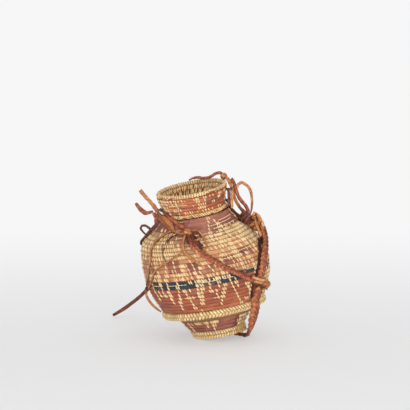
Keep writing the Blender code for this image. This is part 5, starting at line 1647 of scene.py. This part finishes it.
def knot(name, node, colour, turn, height_share, lift, sizes, roll, bands, seed, centre=None, extra=()):
    """A core and its bands, no larger than the solid that it stands for."""
    centre = skin(turn, height_share, lift * KNOT) if centre is None else centre
    axes = knot_frame(turn, height_share, roll)
    band_thickness = min(BAND_THICKNESS, min(sizes) * KNOT * 0.22)
    half = np.array(sizes) * KNOT / 2
    parts = [ball_parcel(centre, axes, half - band_thickness, seed)]
    for number, (facing, offset, width) in enumerate(bands):
        parts.append(band_parcel(centre, axes, half - band_thickness * 0.6, facing, offset,
            width * KNOT, band_thickness, seed * 10 + number))
    return leather_piece(name, parts + list(extra), colour, node)


print("a knot's bands are at most", BAND_THICKNESS * 1000, "mm thick")

# %% [markdown]
# The shoulder knots were tied with long ends, and these hang down over the knots. A few strips run
# over each, their face turned to the front and the right: some thin and pale as torn hide is, some
# nearly black as painted shade where they fold into the knot. Three more strips lie at the crossing:
# two bind both plaits, and the lowest, nearly black, is a painted shadow under them.

# %% Ends that run over the shoulder knots
# Width, shade, route of turn, height and radius shares
OVER_DARK_KNOT = (
    (0.0036, 1.85, ((76, 0.832, 0.695), (75, 0.804, 0.762), (74, 0.774, 0.840), (74, 0.746, 0.885))),
    (0.0016, 0.30, ((76, 0.820, 0.735), (75, 0.796, 0.800), (74, 0.770, 0.865), (74, 0.740, 0.905))),
)
OVER_TAN_KNOT = (
    (0.0046, 0.98, ((78, 0.758, 0.975), (77, 0.735, 1.020), (76, 0.700, 1.060), (75, 0.650, 1.068),
     (74, 0.602, 1.055))),
    (0.0020, 1.24, ((76, 0.700, 0.985), (76, 0.724, 0.935), (76, 0.752, 0.925), (76, 0.754, 0.972),
     (76, 0.722, 1.012), (75, 0.690, 1.040))),
    (0.0009, 1.60, ((74, 0.672, 1.045), (74, 0.640, 1.078), (74, 0.600, 1.072))),
    (0.0009, 1.55, ((74, 0.668, 1.010), (74, 0.650, 1.045), (74, 0.622, 1.085), (74, 0.604, 1.060))),
    (0.0050, 1.20, ((81, 0.770, 0.905), (79, 0.757, 0.985), (78, 0.730, 1.050), (77, 0.690, 1.090),
     (76, 0.640, 1.085))),
    (0.0050, 1.10, ((79, 0.762, 0.925), (76, 0.732, 0.975), (74, 0.700, 1.010), (73, 0.660, 1.020),
     (73, 0.620, 1.015))),
    (0.0036, 0.95, ((83, 0.752, 0.940), (80, 0.735, 1.010), (79, 0.705, 1.060))),
    # These two nearly black strips are painted shade where the ends fold into the knot.
    (0.0018, 0.10, ((78, 0.770, 0.960), (75, 0.745, 1.000), (74, 0.722, 1.030))),
    (0.0016, 0.10, ((76, 0.715, 1.080), (74, 0.690, 1.060), (73, 0.660, 1.055))),
)
OVER_LIFT = 0.002


def over_knot(routes, seed):
    """Ends of leather that run over a knot, their broad side to the front and the right."""
    parts = []
    for number, (width, shade, route) in enumerate(routes):
        line = ring(*trace(route).T)
        facing = np.broadcast_to(TOWARDS_VIEW * 0.7 + AWAY * 0.7, line.shape)
        parts.append(strand(line + facing * OVER_LIFT, facing, width, width * 0.45, seed=seed + number,
            rough=0.10, shade=shade))
    return parts


print("ends over the knots", len(OVER_DARK_KNOT) + len(OVER_TAN_KNOT))

# %% Strips at the crossing: two bind both plaits, one is a painted shadow
WRAP_ROUTE = ((41.5, 0.378), (46.5, 0.362), (53.5, 0.342), (64, 0.312), (75, 0.286), (80, 0.278))
wrap_stops = trace(WRAP_ROUTE)
wrap_turn, wrap_height = wrap_stops.T
wrap_over = np.interp(wrap_turn, (38, 44, 50, 64, 80), (0.0022, 0.0044, 0.0060, 0.0060, 0.0036))
wrap_taper = tapered(skin(wrap_turn, wrap_height, 0.0), (0.5, 0.8))
wrap_parts = []
# Width, thickness, shade, shift in height share
for number, (width, thickness, shade, shift) in enumerate((
    # The third strip, nearly black and a little lower, is a painted shadow under the other two.
    (0.0036, 0.0018, 1.40, 0.012), (0.0034, 0.0018, 1.15, -0.008), (0.0020, 0.0012, 0.14, -0.026),
)):
    wrap_parts.append(strand(skin(wrap_turn, wrap_height + shift, wrap_over - 0.0006 * number),
        skin_out(wrap_turn, wrap_height), width * wrap_taper, thickness, seed=130 + number, shade=shade))
print("strips at the crossing", len(wrap_parts))

# %% Tie all knots
knot("front_tie_knot", "front_knot", "tan", -9.8, 0.745, 0.360, (0.760, 0.800, 0.640), 25, (
    ((1, 0.25, 0), 0.0, 0.30), ((0.2, 1, 0), 0.25, 0.26), ((0.5, 0.8, 0.2), -0.35, 0.24),
    ((0.9, -0.5, 0.1), 0.45, 0.22)), 3)
knot("lacing_small_knot", "lacing_knot", "dark", -77, 0.394, 0.215, (0.477, 0.477, 0.369), 0, (
    ((1, 0.2, 0), 0.0, 0.17), ((0.2, 1, 0.3), 0.1, 0.15)), 4)
knot("shoulder_dark_knot", "shoulder_knot_dark", "dark", 75, 0.716, 0.600, (0.923, 1.385, 1.046), 0, (
    ((0.1, 1, 0.1), 0.30, 0.24), ((0, 1, -0.1), -0.20, 0.26), ((0.3, 1, 0.3), 0.72, 0.22),
    ((0.9, 0.3, 0.1), 0.1, 0.22), ((-0.2, 1, 0.2), -0.65, 0.22)), 5,
    extra=over_knot(OVER_DARK_KNOT, 150))
knot("shoulder_tan_knot", "shoulder_knot_tan", "tan", 81, 0.668, 0.769, (1.000, 1.538, 1.354), 0, (
    ((0.2, 1, 0.2), 0.05, 0.26), ((-0.3, 1, 0.15), 0.42, 0.25), ((0.2, 1, -0.2), -0.42, 0.26),
    ((0.9, 0.2, 0.3), 0.2, 0.24), ((0.4, 0.9, 0.5), 0.78, 0.20), ((0.7, -0.6, 0.3), -0.3, 0.22)), 6,
    extra=over_knot(OVER_TAN_KNOT, 140))
knot("crossing_tie", "crossing_knot", "tan", 60, 0.316, 0.420, (1.560, 0.800, 0.800), -10, (
    ((1, 0.15, 0), -0.30, 0.32), ((1, -0.3, 0.1), 0.30, 0.30), ((0.25, 1, 0.1), 0.1, 0.24),
    ((0.6, 0.8, 0), 0.45, 0.22), ((1, 0.5, 0.1), 0.72, 0.26)), 7,
    extra=tinged(wrap_parts, (1.06, 1.20, 1.28)))
knot("back_tie_knot", "back_knot", "tan", 176, 0.640, 0.377, (1.154, 1.154, 0.723), 0, (
    ((1, 0.3, 0), 0.0, 0.32), ((0.2, 1, 0), 0.2, 0.30), ((0.6, -0.7, 0.2), -0.3, 0.26)), 8)
knot("rim_tie_knot", "rim_knot", "tan", 105, 0.985, 0.0, (0.631, 0.631, 0.662), 0, (
    ((1, 0.3, 0.1), 0.0, 0.26), ((0.1, 1, 0.3), 0.2, 0.24), ((0.6, 0.6, -0.5), -0.4, 0.20)), 9,
    centre=ring(105, 1.0236, 0.551))

# %% [markdown]
# ## The sheet of paper
#
# The basket stands on a pale sheet that curves up behind it. The sheet is one long strip bent through
# a quarter circle, so no edge shows between table and background. The paper near the camera takes the
# light and the shadows as paper does, and further back it eases over to a plain white of its own.

# %% The sheet it stands on
SHEET_HALF_WIDTH = 6.0
SHEET_FRONT, SHEET_TOP = -4.0, 6.0
BEND_START, BEND_RADIUS = 1.3, 1.6
sheet_line = [(SHEET_FRONT, 0.0), (0.0, 0.0), (BEND_START, 0.0)]
for angle in np.radians(np.arange(4, 91, 4)):
    sheet_line.append((BEND_START + BEND_RADIUS * math.sin(angle), BEND_RADIUS * (1 - math.cos(angle))))
sheet_line.append((BEND_START + BEND_RADIUS, SHEET_TOP))
sheet_points = [(side * SHEET_HALF_WIDTH, y, z) for y, z in sheet_line for side in (-1, 1)]
sheet_faces = [(2 * k, 2 * k + 1, 2 * k + 3, 2 * k + 2) for k in range(len(sheet_line) - 1)]
sheet_mesh = bpy.data.meshes.new("pale_sheet")
sheet_mesh.from_pydata(sheet_points, [], sheet_faces)
sheet_mesh.polygons.foreach_set("use_smooth", [True] * len(sheet_mesh.polygons))
print("sheet faces", len(sheet_faces))

# %% The paper
FAR_WHITE, NEAR_WHITE, NEAR_SHARE = 0.925, 0.83, 0.45
EASE_FROM, EASE_TO = -0.2, 0.85
paper = Bench("pale_paper")
sheet_place = paper.add("ShaderNodeTexCoord").outputs["Object"]
sheet_depth = paper.add("ShaderNodeSeparateXYZ", {"Vector": sheet_place}).outputs["Y"]


def along_sheet(near, far):
    """A value that eases from near the camera to the far end of the table."""
    return paper.add("ShaderNodeMapRange", {
        "Value": sheet_depth, "From Min": EASE_FROM, "From Max": EASE_TO, "To Min": near, "To Max": far,
    }, interpolation_type="SMOOTHSTEP").outputs["Result"]


paper.end(
    paper.steps(paper.noise(sheet_place, 3.0), (0.3, tint(251, 251, 252)), (0.7, tint(253, 253, 253))),
    paper.steps(paper.noise(sheet_place, 40.0), (0.3, 0.78), (0.7, 0.84)))
rays = paper.add("ShaderNodeLightPath")
seen_directly = paper.maths("MAXIMUM", rays.outputs["Is Camera Ray"],
    paper.maths("MAXIMUM", rays.outputs["Is Glossy Ray"], rays.outputs["Is Transmission Ray"]))
plain_white = paper.add("ShaderNodeEmission", {
    "Color": (1.0, 1.0, 1.0, 1.0), "Strength": along_sheet(NEAR_WHITE, FAR_WHITE),
})
mixed = paper.add("ShaderNodeMixShader", {
    0: paper.maths("MULTIPLY", along_sheet(NEAR_SHARE, 1.0), seen_directly),
    1: paper.shader.outputs["BSDF"], 2: plain_white.outputs["Emission"],
})
paper.tree.links.new(mixed.outputs["Shader"], paper.tree.nodes["Material Output"].inputs["Surface"])
sheet_mesh.materials.append(paper.finish)
print("nodes of the paper", len(paper.tree.nodes))
pale_sheet = bpy.data.objects.new("pale_sheet", sheet_mesh)
bpy.context.scene.collection.objects.link(pale_sheet)

# %% [markdown]
# ## Soft light
#
# The light is soft and comes from all round, so four large square lamps and a bright world are used
# instead of one hard lamp. They stay at a plain level, at which a colour renders about as it is mixed.

# %% Place the lamps
def soft_light(name, place, aim, size, watts):
    """A square area light at a place, turned towards a point."""
    data = bpy.data.lights.new(name, "AREA")
    data.shape = "SQUARE"
    data.size = size
    data.energy = watts
    light = bpy.data.objects.new(name, data)
    light.location = place
    light.rotation_euler = (Vector(aim) - Vector(place)).to_track_quat("-Z", "Y").to_euler()
    bpy.context.scene.collection.objects.link(light)


soft_light("overhead_softbox", (0.2, -0.5, 1.9), (0.0, 0.0, 0.05), 1.4, 3)
soft_light("right_softbox", (1.3, -3.0, 0.9), (0.0, 0.0, 0.08), 1.6, 21)
soft_light("left_softbox", (-1.1, -3.1, 0.6), (0.0, 0.0, 0.08), 1.6, 15)
soft_light("low_fill", (0.0, -1.6, 0.02), (0.0, 0.0, 0.03), 0.6, 13)
WORLD_LIGHT = 0.60
world = bpy.context.scene.world or bpy.data.worlds.new("studio")
bpy.context.scene.world = world
world.use_nodes = True
world.node_tree.nodes["Background"].inputs["Color"].default_value = (1.0, 1.0, 1.0, 1.0)
world.node_tree.nodes["Background"].inputs["Strength"].default_value = WORLD_LIGHT
bpy.context.scene.view_settings.view_transform = "Standard"
print("lamps", len(bpy.data.lights))
